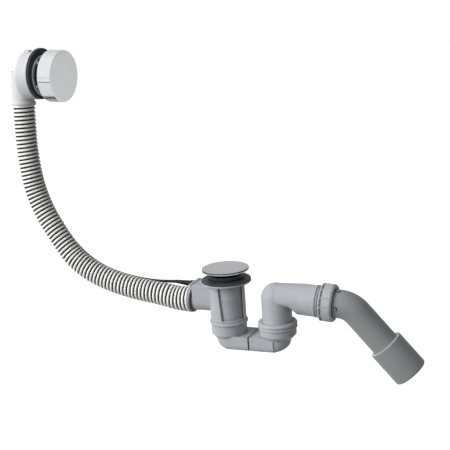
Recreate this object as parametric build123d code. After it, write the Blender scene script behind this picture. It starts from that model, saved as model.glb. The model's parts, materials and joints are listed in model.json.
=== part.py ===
from build123d import *
import os
from math import cos, pi, radians, sin, tan

# Bath waste and overflow, in millimetres.
# Origin: centre of the waste, on the face of the gasket that the bath lies on.
# +Z is up, +X points to the drain outlet, the overflow stands at -X.

# Standard sizes that other plumbing fits
bath_hole_d = 52.0
pipe_od = 40.0
sleeve_od = 50.0
wall = 2.2

# Waste column
gasket_r = 36.0
gasket_t = 3.7
gasket_flat_r = 31.0
gasket_edge_drop = 1.0
collar_recess = 0.5
collar_recess_gap = 0.3
flange_r = 35.5
flange_t = 2.2
column_r = 22.5
column_wall = 2.0
shell_r = 26.0
shell_wall = 1.8
shell_foot_z = -61.2
shell_floor_t = 2.4
column_foot_z = -78.0
window_left_top = -98.6
window_left_foot = -89.5
window_right = -23.3

# Plug and its seat
collar_h = 6.5
seat_wall = 1.6
seat_sleeve_wall = 1.8
seat_sleeve_l = 10.5
seat_ledge_z = 2.2
hub_r = 6.0
hub_top_z = -2.0
hub_foot_z = -9.0
spoke_w = 2.4
plug_r = 34.3
plug_top_z = 16.6
plug_rim_h = 4.8
plug_rim_wall = 2.0
plug_face_t = 2.2
plug_boss_r = 5.0
plug_boss_foot_z = 9.0
plug_stroke = 7.0
stem_r = 3.0
stem_thread_r = 2.4
nut_h = 3.5
nut_across = 10.0
seal_lip_h = 4.8
running_gap = 0.06
seal_gap = 0.1
travel_gap = 0.3

# Lifting wedge under the plug
wedge_travel = 12.0
wedge_w = 8.0
wedge_top_z = -11.8
wedge_bar_foot_z = -21.2
wedge_foot_z = -26.0
wedge_mid_z = -15.2
wedge_tip_x = 16.0
wedge_heel_x = -4.0
tab_x0 = -35.0
tab_x1 = -29.0
guide_wall = 2.0

# Cable chamber beside the column
box_end_x = -50.0
box_y0 = -11.0
box_y1 = 20.0
box_top_z = -9.5
box_foot_z = -23.4
clip_t = 3.0
clip_y0 = -17.0
clip_y1 = 20.5
clip_rise = 1.0

# Overflow inlet on the column, and the hose
inlet_z = -35.9
inlet_r = 15.0
inlet_end_x = -54.5
hose_r = 16.5
hose_bore_r = 13.5
nipple_l = 11.0
hose_ring_r = 18.0
hose_ring_l = 5.0

# Overflow head: the knob axis leans a little, as the flexible hose lets it
head_x = -271.7
head_z = 299.9
head_lean = 4.4
knob_r = 38.0
knob_back = 14.1
knob_face = 37.1
knob_wall = 2.2
knob_turn = 90.0
knob_slot_count = 5
knob_slot_w = 2.2
knob_slot_pitch = 3.6
knob_slot_angle = 70.0
head_gasket_r = 37.7
head_gasket_t = 5.0
head_gasket_bore_r = 28.4
head_gasket_rise = 2.5
head_flange_r = 37.0
head_flange_t = 2.1
drum_r = 35.5
drum_back = -28.5
rim_r = 28.2
rim_wall = 1.6
rim_front = -0.8
tube_r = 15.8
tube_back = -36.9
tube_top = 5.0
tube_foot = -40.0
bead_r = 18.5
bead_l = 5.5
clamp_r = 29.5
clamp_skirt_r = 25.8
clamp_front = 11.0
clamp_t = 2.5
spindle_r = 4.0
screw_r = 1.6
screw_head_r = 4.0
screw_offset = 19.0

# Operating cable
cable_r = 2.3
wire_r = 0.8
cable_y = 14.0
cable_z = -14.0
boot_r = 3.4
boot_l = 12.0
port_angle = 45.0

# Trap
trap_w = 45.0
trap_top_z = -81.4
trap_foot_z = -103.5
trap_round = 14.0
trap_end_x = -20.5
seam_x = 37.0
seam_t = 1.2
seam_set_in = 0.6
cup_r = 26.0
cup_bead_r = 28.0
cup_top_z = -61.5
cup_shoulder_z = -81.4
riser_x = 74.9
riser_r = 21.5
riser_cup_r = 26.6
riser_cup_top_z = -70.0
riser_cup_shoulder_z = -79.3
riser_ring_r = 28.3
riser_ring_top_z = -60.3
riser_foot_z = -77.0

# Outlet elbow, union nut, bend and sleeve
corner_z = -23.8
outlet_fall = 4.0
ball_z = -26.0
neck_mid = 27.0
neck_mid_drop = 1.0
neck_end = 39.0
neck_foot = 12.0
neck_set_in = 0.4
socket_bore_r = 18.5
socket_end = 62.0
thread_r = 22.8
thread_end = 82.0
nut_start = 70.4
nut_end = 86.8
nut_r = 26.5
nut_panels = 12
bend_at = 107.7
bend_turn = 46.5
bend_twist = 6.0
bend_radius = 34.0
bend_start = 56.0
leg_l = 100.0
sleeve_start = 72.9
sleeve_end = 124.4
sleeve_edge = 1.5

# Sizes that follow from the ones above
collar_r = bath_hole_d / 2
pipe_r = pipe_od / 2
sleeve_r = sleeve_od / 2
socket_r = pipe_r + wall
column_bore = column_r - column_wall
seat_bore = column_bore - running_gap - seat_sleeve_wall
seat_mouth = collar_r - seat_wall
inlet_bore = hose_bore_r - wall
wedge_slope = plug_stroke / wedge_travel
wedge_tilt = Vector(wedge_travel, 0, 0).get_angle(Vector(wedge_travel, plug_stroke, 0))
foot_z = wedge_mid_z + (stem_r + travel_gap) / cos(radians(wedge_tilt))
winch_r = wedge_travel / radians(knob_turn)

# Frames: the knob axis, the outlet axis after the riser, and the leg below the bend
head_axis = Vector(cos(radians(head_lean)), 0, -sin(radians(head_lean)))
head_up = Vector(sin(radians(head_lean)), 0, cos(radians(head_lean)))
head_origin = Vector(head_x, 0, head_z)
head = Plane(origin=head_origin, x_dir=(0, 1, 0), z_dir=head_axis)
outlet_axis = Vector(cos(radians(outlet_fall)), 0, -sin(radians(outlet_fall)))
outlet_down = Vector(-sin(radians(outlet_fall)), 0, -cos(radians(outlet_fall)))
corner = Vector(riser_x, 0, corner_z)
outlet = Plane(origin=corner, x_dir=(0, 1, 0), z_dir=outlet_axis)
bend_side = outlet_down * cos(radians(bend_twist)) + Vector(0, sin(radians(bend_twist)), 0)
leg_axis = outlet_axis * cos(radians(bend_turn)) + bend_side * sin(radians(bend_turn))
bend_point = corner + outlet_axis * bend_at
leg = Plane(origin=bend_point, x_dir=bend_side.cross(outlet_axis), z_dir=leg_axis)


def turned(*profile):
    """A turned piece: a closed outline of (radius, height) points spun round Z."""
    outline = Polyline(*[(r, 0, z) for r, z in profile], close=True)
    return revolve(make_face(outline), Axis.Z)


def ring(outer, inner, low, high):
    """A plain ring, or a disc where the inner radius is 0."""
    return turned((inner, low), (outer, low), (outer, high), (inner, high))


def block(x0, x1, y0, y1, z0, z1):
    """A box between two corners."""
    size = (x1 - x0, y1 - y0, z1 - z0)
    return Pos((x0 + x1) / 2, (y0 + y1) / 2, (z0 + z1) / 2) * Box(*size)


def along_x(radius, x0, x1, y, z):
    """A round bar along X."""
    return Pos((x0 + x1) / 2, y, z) * Rot(0, 90, 0) * Cylinder(radius, x1 - x0)


def polar_at(radius, angle, z):
    """A point at a radius and an angle in degrees round Z."""
    return (radius * cos(radians(angle)), radius * sin(radians(angle)), z)


def head_point(across, up, out):
    """A point in the overflow head: across the bath, up the wall, out towards the knob."""
    return head_origin + Vector(0, across, 0) + head_up * up + head_axis * out


def run_radii(points):
    """The largest tangent arc that each corner of a route has room for."""
    radii = []
    for before, here, after in zip(points, points[1:], points[2:]):
        run_in = here - before
        run_out = after - here
        shorter = min(run_in.length, run_out.length)
        radii.append(0.45 * shorter / tan(radians(run_in.get_angle(run_out)) / 2))
    return radii


def tube_along(points, outer, inner):
    """A tube, or a solid cord, of straight runs joined by tangent arcs."""
    radii = run_radii(points)
    print("arc radii", [round(radius) for radius in radii])
    path = FilletPolyline(*points, radius=radii)
    start = Plane(origin=points[0], z_dir=(points[1] - points[0]))
    section = Circle(outer) - Circle(inner) if inner else Circle(outer)
    area = pi * (outer**2 - inner**2)
    tube = sweep(start * section, path=path)
    print("volume against section times length", round(tube.volume / (area * path.length), 4))
    return tube


def waste_gasket():
    """Rubber gasket under the bath: recessed for the collar, flat, then falling away at the edge."""
    bore = column_r - seal_gap
    recess_r = collar_r + collar_recess_gap
    return turned((bore, -gasket_t), (gasket_r, -gasket_t), (gasket_r, -gasket_edge_drop),
                  (gasket_flat_r, 0), (recess_r, 0), (recess_r, -collar_recess), (bore, -collar_recess))


def valve_seat():
    """Collar through the bath hole, with a funnel, a screw-in sleeve and a spoked hub."""
    sleeve_r0 = column_bore - running_gap
    shape = turned((sleeve_r0, -seat_sleeve_l), (sleeve_r0, -collar_recess), (collar_r, -collar_recess),
                   (collar_r, collar_h - 0.6), (collar_r - 0.6, collar_h), (seat_mouth, collar_h),
                   (seat_mouth, seat_ledge_z), (seat_bore, hub_top_z), (seat_bore, -seat_sleeve_l))
    spokes = block(-seat_bore - 0.5, seat_bore + 0.5, -spoke_w / 2, spoke_w / 2,
                   hub_foot_z + 1, hub_top_z - 1)
    shape += Rot(0, 0, 45) * spokes
    shape += Rot(0, 0, -45) * spokes
    shape += Pos(0, 0, (hub_foot_z + hub_top_z) / 2) * Cylinder(hub_r, hub_top_z - hub_foot_z)
    return shape - ring(stem_r + running_gap, 0, hub_foot_z - 1, hub_top_z + 1)


def plug_cap():
    """Polished plug: a shallow dish turned over, with a boss for the stem."""
    rim_z = plug_top_z - plug_rim_h
    under_z = plug_top_z - plug_face_t
    shape = turned((0, plug_boss_foot_z), (plug_boss_r, plug_boss_foot_z), (plug_boss_r, under_z),
                   (plug_r - plug_rim_wall, under_z), (plug_r - plug_rim_wall, rim_z),
                   (plug_r, rim_z), (plug_r, plug_top_z), (0, plug_top_z))
    edges = shape.edges().filter_by(GeomType.CIRCLE).filter_by(lambda e: abs(e.radius - plug_r) < 0.01)
    shape = fillet(edges, 1.0)
    return shape - ring(stem_thread_r, 0, plug_boss_foot_z, under_z - 0.6)


def plug_seal():
    """Rubber seal under the plug, with a lip that drops into the seat's mouth."""
    top = plug_top_z - plug_face_t
    lip_r = seat_mouth - 0.4
    flange_foot = collar_h + plug_stroke + travel_gap
    lip_foot = seat_ledge_z + plug_stroke + 0.4
    bore = plug_boss_r
    return turned((bore, top), (lip_r + 6, top), (lip_r + 6, flange_foot), (lip_r, flange_foot),
                  (lip_r, lip_foot), (lip_r - 1.8, lip_foot), (lip_r - 1.8, top - 2), (bore, top - 2))


def plug_stem():
    """Round stem with a ball foot, threaded at the top into the plug."""
    top = plug_top_z - plug_face_t - 0.6
    shape = ring(stem_r, 0, foot_z, plug_boss_foot_z)
    shape += Pos(0, 0, foot_z) * Sphere(stem_r)
    return shape + ring(stem_thread_r, 0, plug_boss_foot_z, top)


def stem_nut():
    """Lock nut on the stem, tight against the plug's boss."""
    prism = extrude(RegularPolygon(nut_across / 2, 6, major_radius=False), nut_h)
    return Pos(0, 0, plug_boss_foot_z - nut_h) * prism - ring(stem_r, 0, 0, plug_boss_foot_z)


def lift_wedge():
    """Sliding wedge: its slope lifts the stem, and its side tab takes the cable."""
    tip_z = wedge_mid_z - wedge_slope * wedge_tip_x
    crest_x = (wedge_mid_z - wedge_top_z) / wedge_slope
    outline = Polyline((tab_x0, 0, wedge_bar_foot_z), (wedge_heel_x, 0, wedge_bar_foot_z),
                       (wedge_heel_x, 0, wedge_foot_z), (wedge_tip_x, 0, wedge_foot_z),
                       (wedge_tip_x, 0, tip_z), (crest_x, 0, wedge_top_z),
                       (tab_x0, 0, wedge_top_z), close=True)
    shape = extrude(make_face(outline), wedge_w / 2, both=True)
    tab_foot = cable_z - 3.2
    shape += block(tab_x0, tab_x1, 0, cable_y + 3, tab_foot, wedge_top_z)
    return shape - along_x(wire_r, tab_x0, tab_x1, cable_y, cable_z)


def cable_wire():
    """End of the pull wire, with its nipple against the wedge's tab."""
    shape = along_x(wire_r, box_end_x - 1, tab_x1, cable_y, cable_z)
    return shape + along_x(1.9, tab_x1, tab_x1 + 4, cable_y, cable_z)


def wedge_guide():
    """Ring in the column with a trough across it, in which the wedge slides."""
    inside = wedge_w / 2 + travel_gap
    floor = wedge_foot_z - 0.2
    shape = ring(column_bore, column_bore - guide_wall, floor - guide_wall, wedge_bar_foot_z - 0.8)
    trough = block(-column_bore, column_bore, -inside - guide_wall, inside + guide_wall,
                   floor - guide_wall, wedge_bar_foot_z - 0.8)
    trough -= block(-column_bore, column_bore, -inside, inside, floor, 0)
    trough &= ring(column_bore, 0, floor - guide_wall, 0)
    shape += trough
    return shape - block(-column_bore, column_bore, -inside, inside, floor, 0)


def waste_body():
    """Moulded column: flange, pipe, part shell with a window, hose inlet and cable chamber."""
    flange_top = -gasket_t
    flange_foot = flange_top - flange_t
    shape = ring(column_r, column_bore, column_foot_z, flange_top)
    shape += ring(flange_r, column_bore, flange_foot, flange_top)
    shell = ring(shell_r, shell_r - shell_wall, shell_foot_z, flange_foot)
    foot = shell_foot_z + shell_floor_t
    reach = 3 * shell_r
    low = Polyline((0, 0, foot), polar_at(reach, window_left_foot, foot),
                   polar_at(reach, window_right, foot), close=True)
    high = Polyline((0, 0, flange_foot), polar_at(reach, window_left_top, flange_foot),
                    polar_at(reach, window_right, flange_foot), close=True)
    window = loft([make_face(low), make_face(high)])
    shell -= window
    shape += shell
    shape += ring(shell_r, column_bore + 0.5, shell_foot_z, foot)
    chamber = block(box_end_x, -column_r + 1, box_y0, box_y1, box_foot_z, box_top_z)
    clip = block(box_end_x - clip_t / 2, box_end_x + clip_t / 2, clip_y0, clip_y1,
                 box_foot_z, box_top_z + clip_rise)
    pipe = along_x(inlet_r, inlet_end_x, -column_r + 1, 0, inlet_z)
    nipple = along_x(hose_bore_r, inlet_end_x - nipple_l, inlet_end_x, 0, inlet_z)
    outside = chamber + clip + pipe + nipple
    outside -= ring(column_bore, 0, column_foot_z, 0)
    shape += outside
    for post in (window_right + 12, 100.0, 150.0):
        rib = block(column_r - 1, shell_r - 0.5, -0.8, 0.8, shell_foot_z, flange_foot)
        shape += Rot(0, 0, post) * rib
    shape -= along_x(inlet_bore, inlet_end_x - nipple_l, -column_bore / 2, 0, inlet_z)
    cavity = block(box_end_x + 2.5, -column_bore / 2, box_y0 + wall, box_y1 - wall,
                   wedge_bar_foot_z - travel_gap, wedge_top_z + travel_gap)
    shape -= cavity
    shape -= along_x(wire_r + 0.4, box_end_x - clip_t, box_end_x + 4, cable_y, cable_z)
    return shape - along_x(boot_r - 0.6, box_end_x - clip_t, box_end_x, cable_y, cable_z)


def cable_boot():
    """Tapered boot and stop where the cable enters its chamber."""
    end = box_end_x - clip_t / 2
    outline = Polyline((0, 0, 0), (boot_r, 0, 0), (boot_r, 0, 4), (cable_r + 0.5, 0, boot_l),
                       (0, 0, boot_l), close=True)
    shape = revolve(make_face(outline), Axis.Z)
    shape += ring(boot_r - 0.6, 0, -clip_t / 2, 0)
    shape -= ring(wire_r + 0.2, 0, -clip_t, boot_l)
    return Pos(end, cable_y, cable_z) * Rot(0, -90, 0) * shape


def hose_route():
    """Corners of the hose's centre line, from the waste up to the overflow."""
    start = Vector(inlet_end_x, 0, inlet_z)
    end = head_point(0, tube_foot - bead_l, tube_back)
    inner = [(-76, inlet_z), (-101.8, -30.3), (-153.1, -23.6), (-205.3, -8.7), (-239.2, 10.3),
             (-260.9, 31.8), (-306.6, 107.6), (-315, 167.7)]
    corners = [start] + [Vector(x, 0, z) for x, z in inner]
    return corners + [end - head_up * 36, end]


def overflow_hose():
    """Flexible hose from the waste's inlet to the overflow."""
    return tube_along(hose_route(), hose_r, hose_bore_r)


def hose_ring():
    """Clamping ring over the hose's lower end."""
    shape = ring(hose_ring_r, hose_r, 0, hose_ring_l)
    return Pos(inlet_end_x - 1, 0, inlet_z) * Rot(0, -90, 0) * shape


def port_frame():
    """Where the cable enters the back of the overflow head, and the way it points."""
    mouth = head_point(22, -7, drum_back + 1)
    slope = radians(port_angle)
    direction = head_axis * sin(slope) + head_up * cos(slope)
    return Plane(origin=mouth, x_dir=(0, 1, 0), z_dir=direction)


def cable_ferrule():
    """Stop at the cable's upper end, set in the back of the overflow head."""
    return port_frame() * ring(boot_r, 0, -9, 3)


def cable_sheath():
    """Sheathed operating cable behind the hose, from the boot to the overflow head."""
    port = port_frame()
    start = Vector(box_end_x - clip_t / 2 - boot_l, cable_y, cable_z)
    end = port.origin - port.z_dir * 9
    inner = [(-86, cable_y, cable_z), (-124, 15, -15.5), (-168, 17, -10.5), (-212, 18.6, 2),
             (-247, 20, 24), (-276, 21, 58), (-302, 21.5, 108), (-313, 22, 160), (-319, 22.5, 212)]
    corners = [start] + [Vector(*point) for point in inner]
    knee = end - port.z_dir * 20
    return tube_along(corners + [knee, end], cable_r, 0)


def overflow_elbow():
    """Moulded overflow head: flange, drum, rim with four posts, and the pipe down to the hose."""
    flange_front = -head_gasket_t
    flange_back = flange_front - head_flange_t
    shape = Pos(0, head_gasket_rise, 0) * ring(head_flange_r, 0, flange_back, flange_front)
    drum = ring(drum_r, 0, drum_back, flange_back)
    edges = drum.edges().filter_by(GeomType.CIRCLE).sort_by(Axis.Z)
    shape += fillet(edges[0], 3.0)
    pipe = Pos(0, 0, tube_back) * Rot(-90, 0, 0) * ring(tube_r, 0, tube_foot, tube_top)
    bead = Pos(0, 0, tube_back) * Rot(-90, 0, 0) * ring(bead_r, 0, tube_foot - bead_l, tube_foot)
    bead_edges = bead.edges().filter_by(GeomType.CIRCLE)
    bead = fillet(bead_edges, 1.6)
    nipple_foot = tube_foot - bead_l - nipple_l
    nipple = Pos(0, 0, tube_back) * Rot(-90, 0, 0) * ring(hose_bore_r, 0, nipple_foot, tube_foot)
    shape = shape + pipe + bead + nipple
    shape -= ring(drum_r - wall, 0, drum_back + wall, flange_back)
    shape -= ring(rim_r - rim_wall, 0, drum_back + wall, 0)
    shape += ring(rim_r, rim_r - rim_wall, flange_back, rim_front)
    bore = Rot(-90, 0, 0) * ring(inlet_bore, 0, nipple_foot, tube_top - wall)
    shape -= Pos(0, 0, tube_back) * bore
    shape -= Pos(0, 0, tube_back) * Rot(-90, 0, 0) * ring(tube_r - wall, 0, tube_foot, tube_top - wall)
    for angle in (-48, 48, 132, 228):
        post = block(rim_r - rim_wall, rim_r, -2.5, 2.5, rim_front - 1, rim_front + 4)
        shape += Rot(0, 0, 180 + angle) * post
    for side in (-1, 1):
        boss = Pos(side * screw_offset, 0, 0) * ring(screw_r + wall, 0, drum_back + 1, -9)
        shape += boss
        shape -= Pos(side * screw_offset, 0, 0) * ring(screw_r, 0, drum_back + 4, -9)
    return head * shape - port_frame() * ring(boot_r, 0, -12, 12)


def head_gasket():
    """Rubber gasket with two lips, between the overflow flange and the bath, set a little high."""
    edge = head_gasket_r
    shape = turned((0, -head_gasket_t), (edge, -head_gasket_t), (edge, -0.8), (edge - 0.8, 0),
                   (edge - 2.6, 0), (edge - 3.4, -1.6), (edge - 5.2, -1.6), (edge - 6, 0), (0, 0))
    return head * (Pos(0, head_gasket_rise, 0) * shape - ring(head_gasket_bore_r, 0, -head_gasket_t, 0))


def clamp_flange():
    """Clamp inside the bath: flange, skirt through the hole, and a spoked bearing."""
    back = clamp_front - clamp_t
    skirt_in = clamp_skirt_r - 1.8
    shape = turned((skirt_in, -4), (clamp_skirt_r, -4), (clamp_skirt_r, back), (clamp_r, back),
                   (clamp_r, clamp_front), (skirt_in, clamp_front))
    spokes = block(-skirt_in - 0.5, skirt_in + 0.5, -2, 2, 4, clamp_front)
    shape = shape + spokes + Rot(0, 0, 90) * spokes
    shape += ring(8, 0, -2, clamp_front)
    for side in (-1, 1):
        shape += Pos(side * screw_offset, 0, 0) * ring(screw_head_r, 0, 4, clamp_front)
        shape -= Pos(side * screw_offset, 0, 0) * ring(screw_r + 0.3, 0, 0, clamp_front)
    return head * (shape - ring(spindle_r + running_gap, 0, -3, clamp_front + 1))


def clamp_screws():
    """Two screws that draw the clamp flange to the overflow head."""
    screws = []
    for side in (-1, 1):
        shape = turned((0, drum_back + 8), (screw_r, drum_back + 8), (screw_r, clamp_front),
                       (screw_head_r, clamp_front), (screw_head_r - 1, clamp_front + 2.4),
                       (0, clamp_front + 2.4))
        slot = block(-screw_head_r, screw_head_r, -0.5, 0.5, clamp_front + 1.4, clamp_front + 3)
        screws.append(head * Pos(side * screw_offset, 0, 0) * (shape - slot))
    return Compound(children=screws)


def knob_spindle():
    """Spindle from the knob through the clamp's bearing, with a collar at its back."""
    shape = ring(spindle_r, 0, -18, knob_face - knob_wall)
    return head * shape


def cable_winch():
    """Grooved winch on the spindle, round which the pull wire turns."""
    shape = turned((spindle_r, -16), (winch_r + 2.5, -16), (winch_r + 2.5, -14), (winch_r, -12.5),
                   (winch_r, -10.5), (winch_r + 2.5, -9), (winch_r + 2.5, -7), (spindle_r, -7))
    return head * shape


def overflow_knob():
    """Turning knob: a deep round cap with inlet slots underneath and a hub inside."""
    shape = ring(knob_r, 0, knob_back, knob_face)
    rim = shape.edges().filter_by(GeomType.CIRCLE).sort_by(Axis.Z)
    shape = fillet(rim[-1], 0.8)
    shape -= ring(knob_r - knob_wall, 0, knob_back, knob_face - knob_wall)
    shape += ring(spindle_r + 3, 0, knob_back + 2, knob_face - knob_wall)
    shape -= ring(spindle_r, 0, knob_back, knob_face - knob_wall)
    reach = 2 * knob_r
    half = knob_slot_angle / 2
    wedge = Polyline((0, 0), (reach * sin(radians(half)), -reach), (-reach * sin(radians(half)), -reach),
                     close=True)
    first = knob_back + 3.2
    for number in range(knob_slot_count):
        low = first + number * knob_slot_pitch
        slot = Pos(0, 0, low) * extrude(make_face(wedge), knob_slot_w)
        shape -= slot - ring(knob_r - 2 * knob_wall, 0, knob_back, knob_face)
    return head * shape


def channel_half(inset):
    """Half of the channel's section, smaller all round by an inset: flat top, upright side, round foot."""
    side = trap_w / 2 - inset
    height = trap_top_z - trap_foot_z - 2 * inset
    half = Pos(side / 2, (trap_top_z + trap_foot_z) / 2) * Rectangle(side, height)
    foot = half.vertices().group_by(Axis.Y)[0].sort_by(Axis.X)[-1]
    return Plane.XZ * fillet(foot, trap_round - inset)


def channel_run(inset, end_x, far_x):
    """Channel from a round end to a plane across it, as a solid."""
    half = channel_half(inset)
    turn = 90 if far_x > end_x else -90
    shape = Pos(end_x, 0, 0) * Rot(0, 0, turn) * revolve(half, Axis.Z, 180)
    for side in (-90, 90):
        wing = Pos(end_x, 0, 0) * Rot(0, 0, side) * half
        shape += extrude(wing, far_x - end_x, dir=(1, 0, 0))
    return shape


def trap_half(end_x, seam_face, cup, cup_bore):
    """One half of the trap: its stretch of channel and its cup, hollow and open at the seam."""
    overrun = 1 if seam_face > end_x else -1
    shape = channel_run(0, end_x, seam_face) + cup
    return shape - channel_run(wall, end_x, seam_face + overrun) - cup_bore


def trap_inlet_half():
    """Left half of the trap, with the cup that takes the waste column."""
    cup = turned((0, trap_top_z - 5), (cup_r - 5, trap_top_z - 4.2), (cup_r, cup_shoulder_z),
                 (cup_r, cup_top_z - 5), (cup_bead_r - 0.6, cup_top_z - 4.2),
                 (cup_bead_r, cup_top_z - 2.4), (cup_bead_r - 0.6, cup_top_z - 0.8),
                 (cup_r, cup_top_z), (0, cup_top_z))
    bore = turned((0, trap_foot_z + 12), (column_bore - wall, trap_foot_z + 12),
                  (column_bore - wall, trap_top_z - 1.5), (cup_r - 2, cup_shoulder_z + 2.4),
                  (cup_r - 2, cup_top_z - 4), (column_r + 0.5, cup_top_z - 3),
                  (column_r + 0.5, cup_top_z + 1), (0, cup_top_z + 1))
    return trap_half(trap_end_x + trap_w / 2, seam_x - seam_t / 2, cup, bore)


def trap_outlet_half():
    """Right half of the trap, with the cup that takes the riser."""
    cup = turned((0, trap_top_z - 4), (riser_cup_r - 4.6, trap_top_z - 2.6),
                 (riser_cup_r, riser_cup_shoulder_z), (riser_cup_r, riser_cup_top_z),
                 (0, riser_cup_top_z))
    bore = turned((0, trap_foot_z + 12), (riser_r - wall, trap_foot_z + 12),
                  (riser_r - wall, trap_top_z - 0.5), (riser_cup_r - 2.4, riser_foot_z - 1.5),
                  (riser_cup_r - 2.4, riser_cup_top_z + 1), (0, riser_cup_top_z + 1))
    end_x = riser_x + riser_r - trap_w / 2
    return trap_half(end_x, seam_x + seam_t / 2, Pos(riser_x, 0, 0) * cup, Pos(riser_x, 0, 0) * bore)


def trap_joint_seal():
    """Seal pressed between the trap's two halves."""
    half = channel_half(seam_set_in) - channel_half(wall)
    low = Pos(seam_x - seam_t / 2, 0, 0)
    left, right = [extrude(low * Rot(0, 0, side) * half, seam_t, dir=(1, 0, 0)) for side in (-90, 90)]
    return left + right


def column_seal():
    """Seal in the left cup, round the foot of the waste column."""
    low = cup_top_z - 11
    return turned((column_r + seal_gap, low + 1), (column_r + 0.8, low), (cup_r - 2, low),
                  (cup_r - 2, low + 4), (column_r + 0.8, low + 4), (column_r + seal_gap, low + 3))


def riser_ring():
    """Ridged ring snapped on the right cup, which holds the riser's seal."""
    low = riser_cup_top_z
    top = riser_ring_top_z
    crest = riser_ring_r
    shape = turned((riser_cup_r - 2.4, low), (riser_cup_r + 0.4, low), (crest, low + 1.2),
                   (crest, low + 2.6), (crest - 1, low + 3.4), (crest - 1, low + 4.8),
                   (crest, low + 5.6), (crest, low + 7.4), (crest - 1.6, top),
                   (riser_r + 0.4, top), (riser_r + 0.4, top - 3), (riser_cup_r - 2.4, top - 4.2))
    return Pos(riser_x, 0, 0) * shape


def riser_seal():
    """Lip seal under the ridged ring, round the riser."""
    low = riser_cup_top_z
    outer = riser_cup_r - 2.4
    inner = riser_r + seal_gap
    shape = turned((inner, low + 1.5), (inner + 0.8, low), (outer, low), (outer, low + 4.5),
                   (inner + 1, low + 4.5), (inner, low + 3))
    return Pos(riser_x, 0, 0) * shape


def outlet_elbow():
    """Riser, rounded corner and socket in one moulding, threaded for the union nut."""
    riser = Pos(riser_x, 0, 0) * ring(riser_r, 0, riser_foot_z, ball_z)
    ball = Pos(riser_x, 0, ball_z) * Sphere(riser_r)
    neck = neck_run(0)
    socket = outlet * ring(socket_r, 0, neck_end, thread_end)
    bead = outlet * turned((0, socket_end - 2.6), (socket_r, socket_end - 2.6), (thread_r, socket_end - 2),
                           (thread_r, socket_end), (0, socket_end))
    threads = outlet * ring(socket_r + 0.5, 0, socket_end + 1.8, socket_end + 3.4)
    threads += outlet * ring(socket_r + 0.5, 0, socket_end + 5.4, thread_end)
    shape = riser + ball + neck + socket + bead + threads
    shape -= Pos(riser_x, 0, 0) * ring(riser_r - wall, 0, riser_foot_z, ball_z)
    shape -= Pos(riser_x, 0, ball_z) * Sphere(riser_r - wall)
    shape -= neck_run(wall)
    shape -= outlet * ring(socket_bore_r, 0, neck_end - 1, bend_start)
    return shape - outlet * ring(pipe_r + seal_gap, 0, bend_start - 1, thread_end)


def neck_section(along, width, over, under, drop, inset):
    """Outline of the neck across its run: a half circle over a flatter half ellipse."""
    upper = EllipticalCenterArc((0, 0), width - inset, over - inset, start_angle=0, arc_size=180)
    lower = EllipticalCenterArc((0, 0), width - inset, under - inset, start_angle=180, arc_size=180)
    return outlet * Pos(0, -drop, along) * make_face(upper + lower)


def neck_run(inset):
    """Neck from the corner to the socket: its top runs straight, its flat underside swells."""
    width = riser_r - neck_set_in
    start = neck_section(0, width, width, neck_foot, corner_z - ball_z, inset)
    middle = neck_section(neck_mid, width, socket_r - neck_set_in, neck_foot, neck_mid_drop, inset)
    end = neck_section(neck_end, socket_r, socket_r, socket_r, 0, inset)
    return loft([start, middle]) + loft([middle, end])


def union_nut():
    """Union nut: a toothed lip, a groove, then a row of gripping panels."""
    lip_end = nut_start + 2.2
    groove_end = lip_end + 1.2
    panel_end = nut_end - 2.6
    shape = ring(nut_r, 0, nut_start, lip_end)
    shape += ring(nut_r - 1.2, 0, lip_end, groove_end)
    shape += turned((0, groove_end), (nut_r, groove_end), (nut_r, panel_end), (nut_r - 1.6, nut_end),
                    (0, nut_end))
    for number in range(nut_panels):
        turn = 360 / nut_panels * number
        flute = Pos(nut_r + 0.6, 0, (groove_end + nut_end) / 2) * Cylinder(1.3, nut_end - groove_end)
        shape -= Rot(0, 0, turn) * flute
        bridge = block(nut_r - 1.6, nut_r - 0.3, -0.9, 0.9, lip_end, groove_end)
        shape += Rot(0, 0, turn) * bridge
    inside = socket_r + 0.5
    shape -= ring(inside, 0, nut_start, nut_end - 3)
    return outlet * (shape - ring(pipe_r + 0.5, 0, nut_start, nut_end))


def cone_seal():
    """Rubber cone pressed between the socket's end and the washer."""
    front = thread_end
    shape = turned((pipe_r + seal_gap, front), (socket_r + 0.3, front), (socket_r - 0.4, front + 1.2),
                   (pipe_r + seal_gap, front + 1.2))
    return outlet * shape


def slip_washer():
    """Slip washer between the cone seal and the nut's inner shoulder."""
    front = thread_end + 1.2
    return outlet * ring(socket_r + 0.3, pipe_r + seal_gap, front, nut_end - 3)


def outlet_bend():
    """Outlet pipe with one bend, and two small stops near the nut."""
    start = corner + outlet_axis * bend_start
    end = bend_point + leg_axis * leg_l
    path = FilletPolyline(start, bend_point, end, radius=bend_radius)
    section = Plane(origin=start, z_dir=outlet_axis) * (Circle(pipe_r) - Circle(pipe_r - wall))
    shape = sweep(section, path=path)
    for angle in (60, 250):
        stop = Pos(0, 0, nut_end + 2.6) * Rot(0, 0, angle) * Pos(pipe_r, 0, 0) * Rot(0, 90, 0)
        shape += outlet * stop * Cylinder(1.1, 2.4)
    return shape


def reducer_sleeve():
    """Sleeve on the pipe's end that brings it up to the next standard size."""
    bore = pipe_r - wall
    groove = sleeve_start + 8
    shape = turned((pipe_r, sleeve_start), (sleeve_r - sleeve_edge, sleeve_start),
                   (sleeve_r, sleeve_start + sleeve_edge), (sleeve_r, sleeve_end - sleeve_edge),
                   (sleeve_r - sleeve_edge, sleeve_end), (bore, sleeve_end), (bore, leg_l),
                   (pipe_r, leg_l), (pipe_r, groove + 4), (pipe_r + 2, groove + 4),
                   (pipe_r + 2, groove), (pipe_r, groove))
    return leg * shape


def sleeve_seal():
    """Seal in the sleeve's groove, round the pipe."""
    groove = sleeve_start + 8
    return leg * ring(pipe_r + 2, pipe_r, groove, groove + 4)


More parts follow.
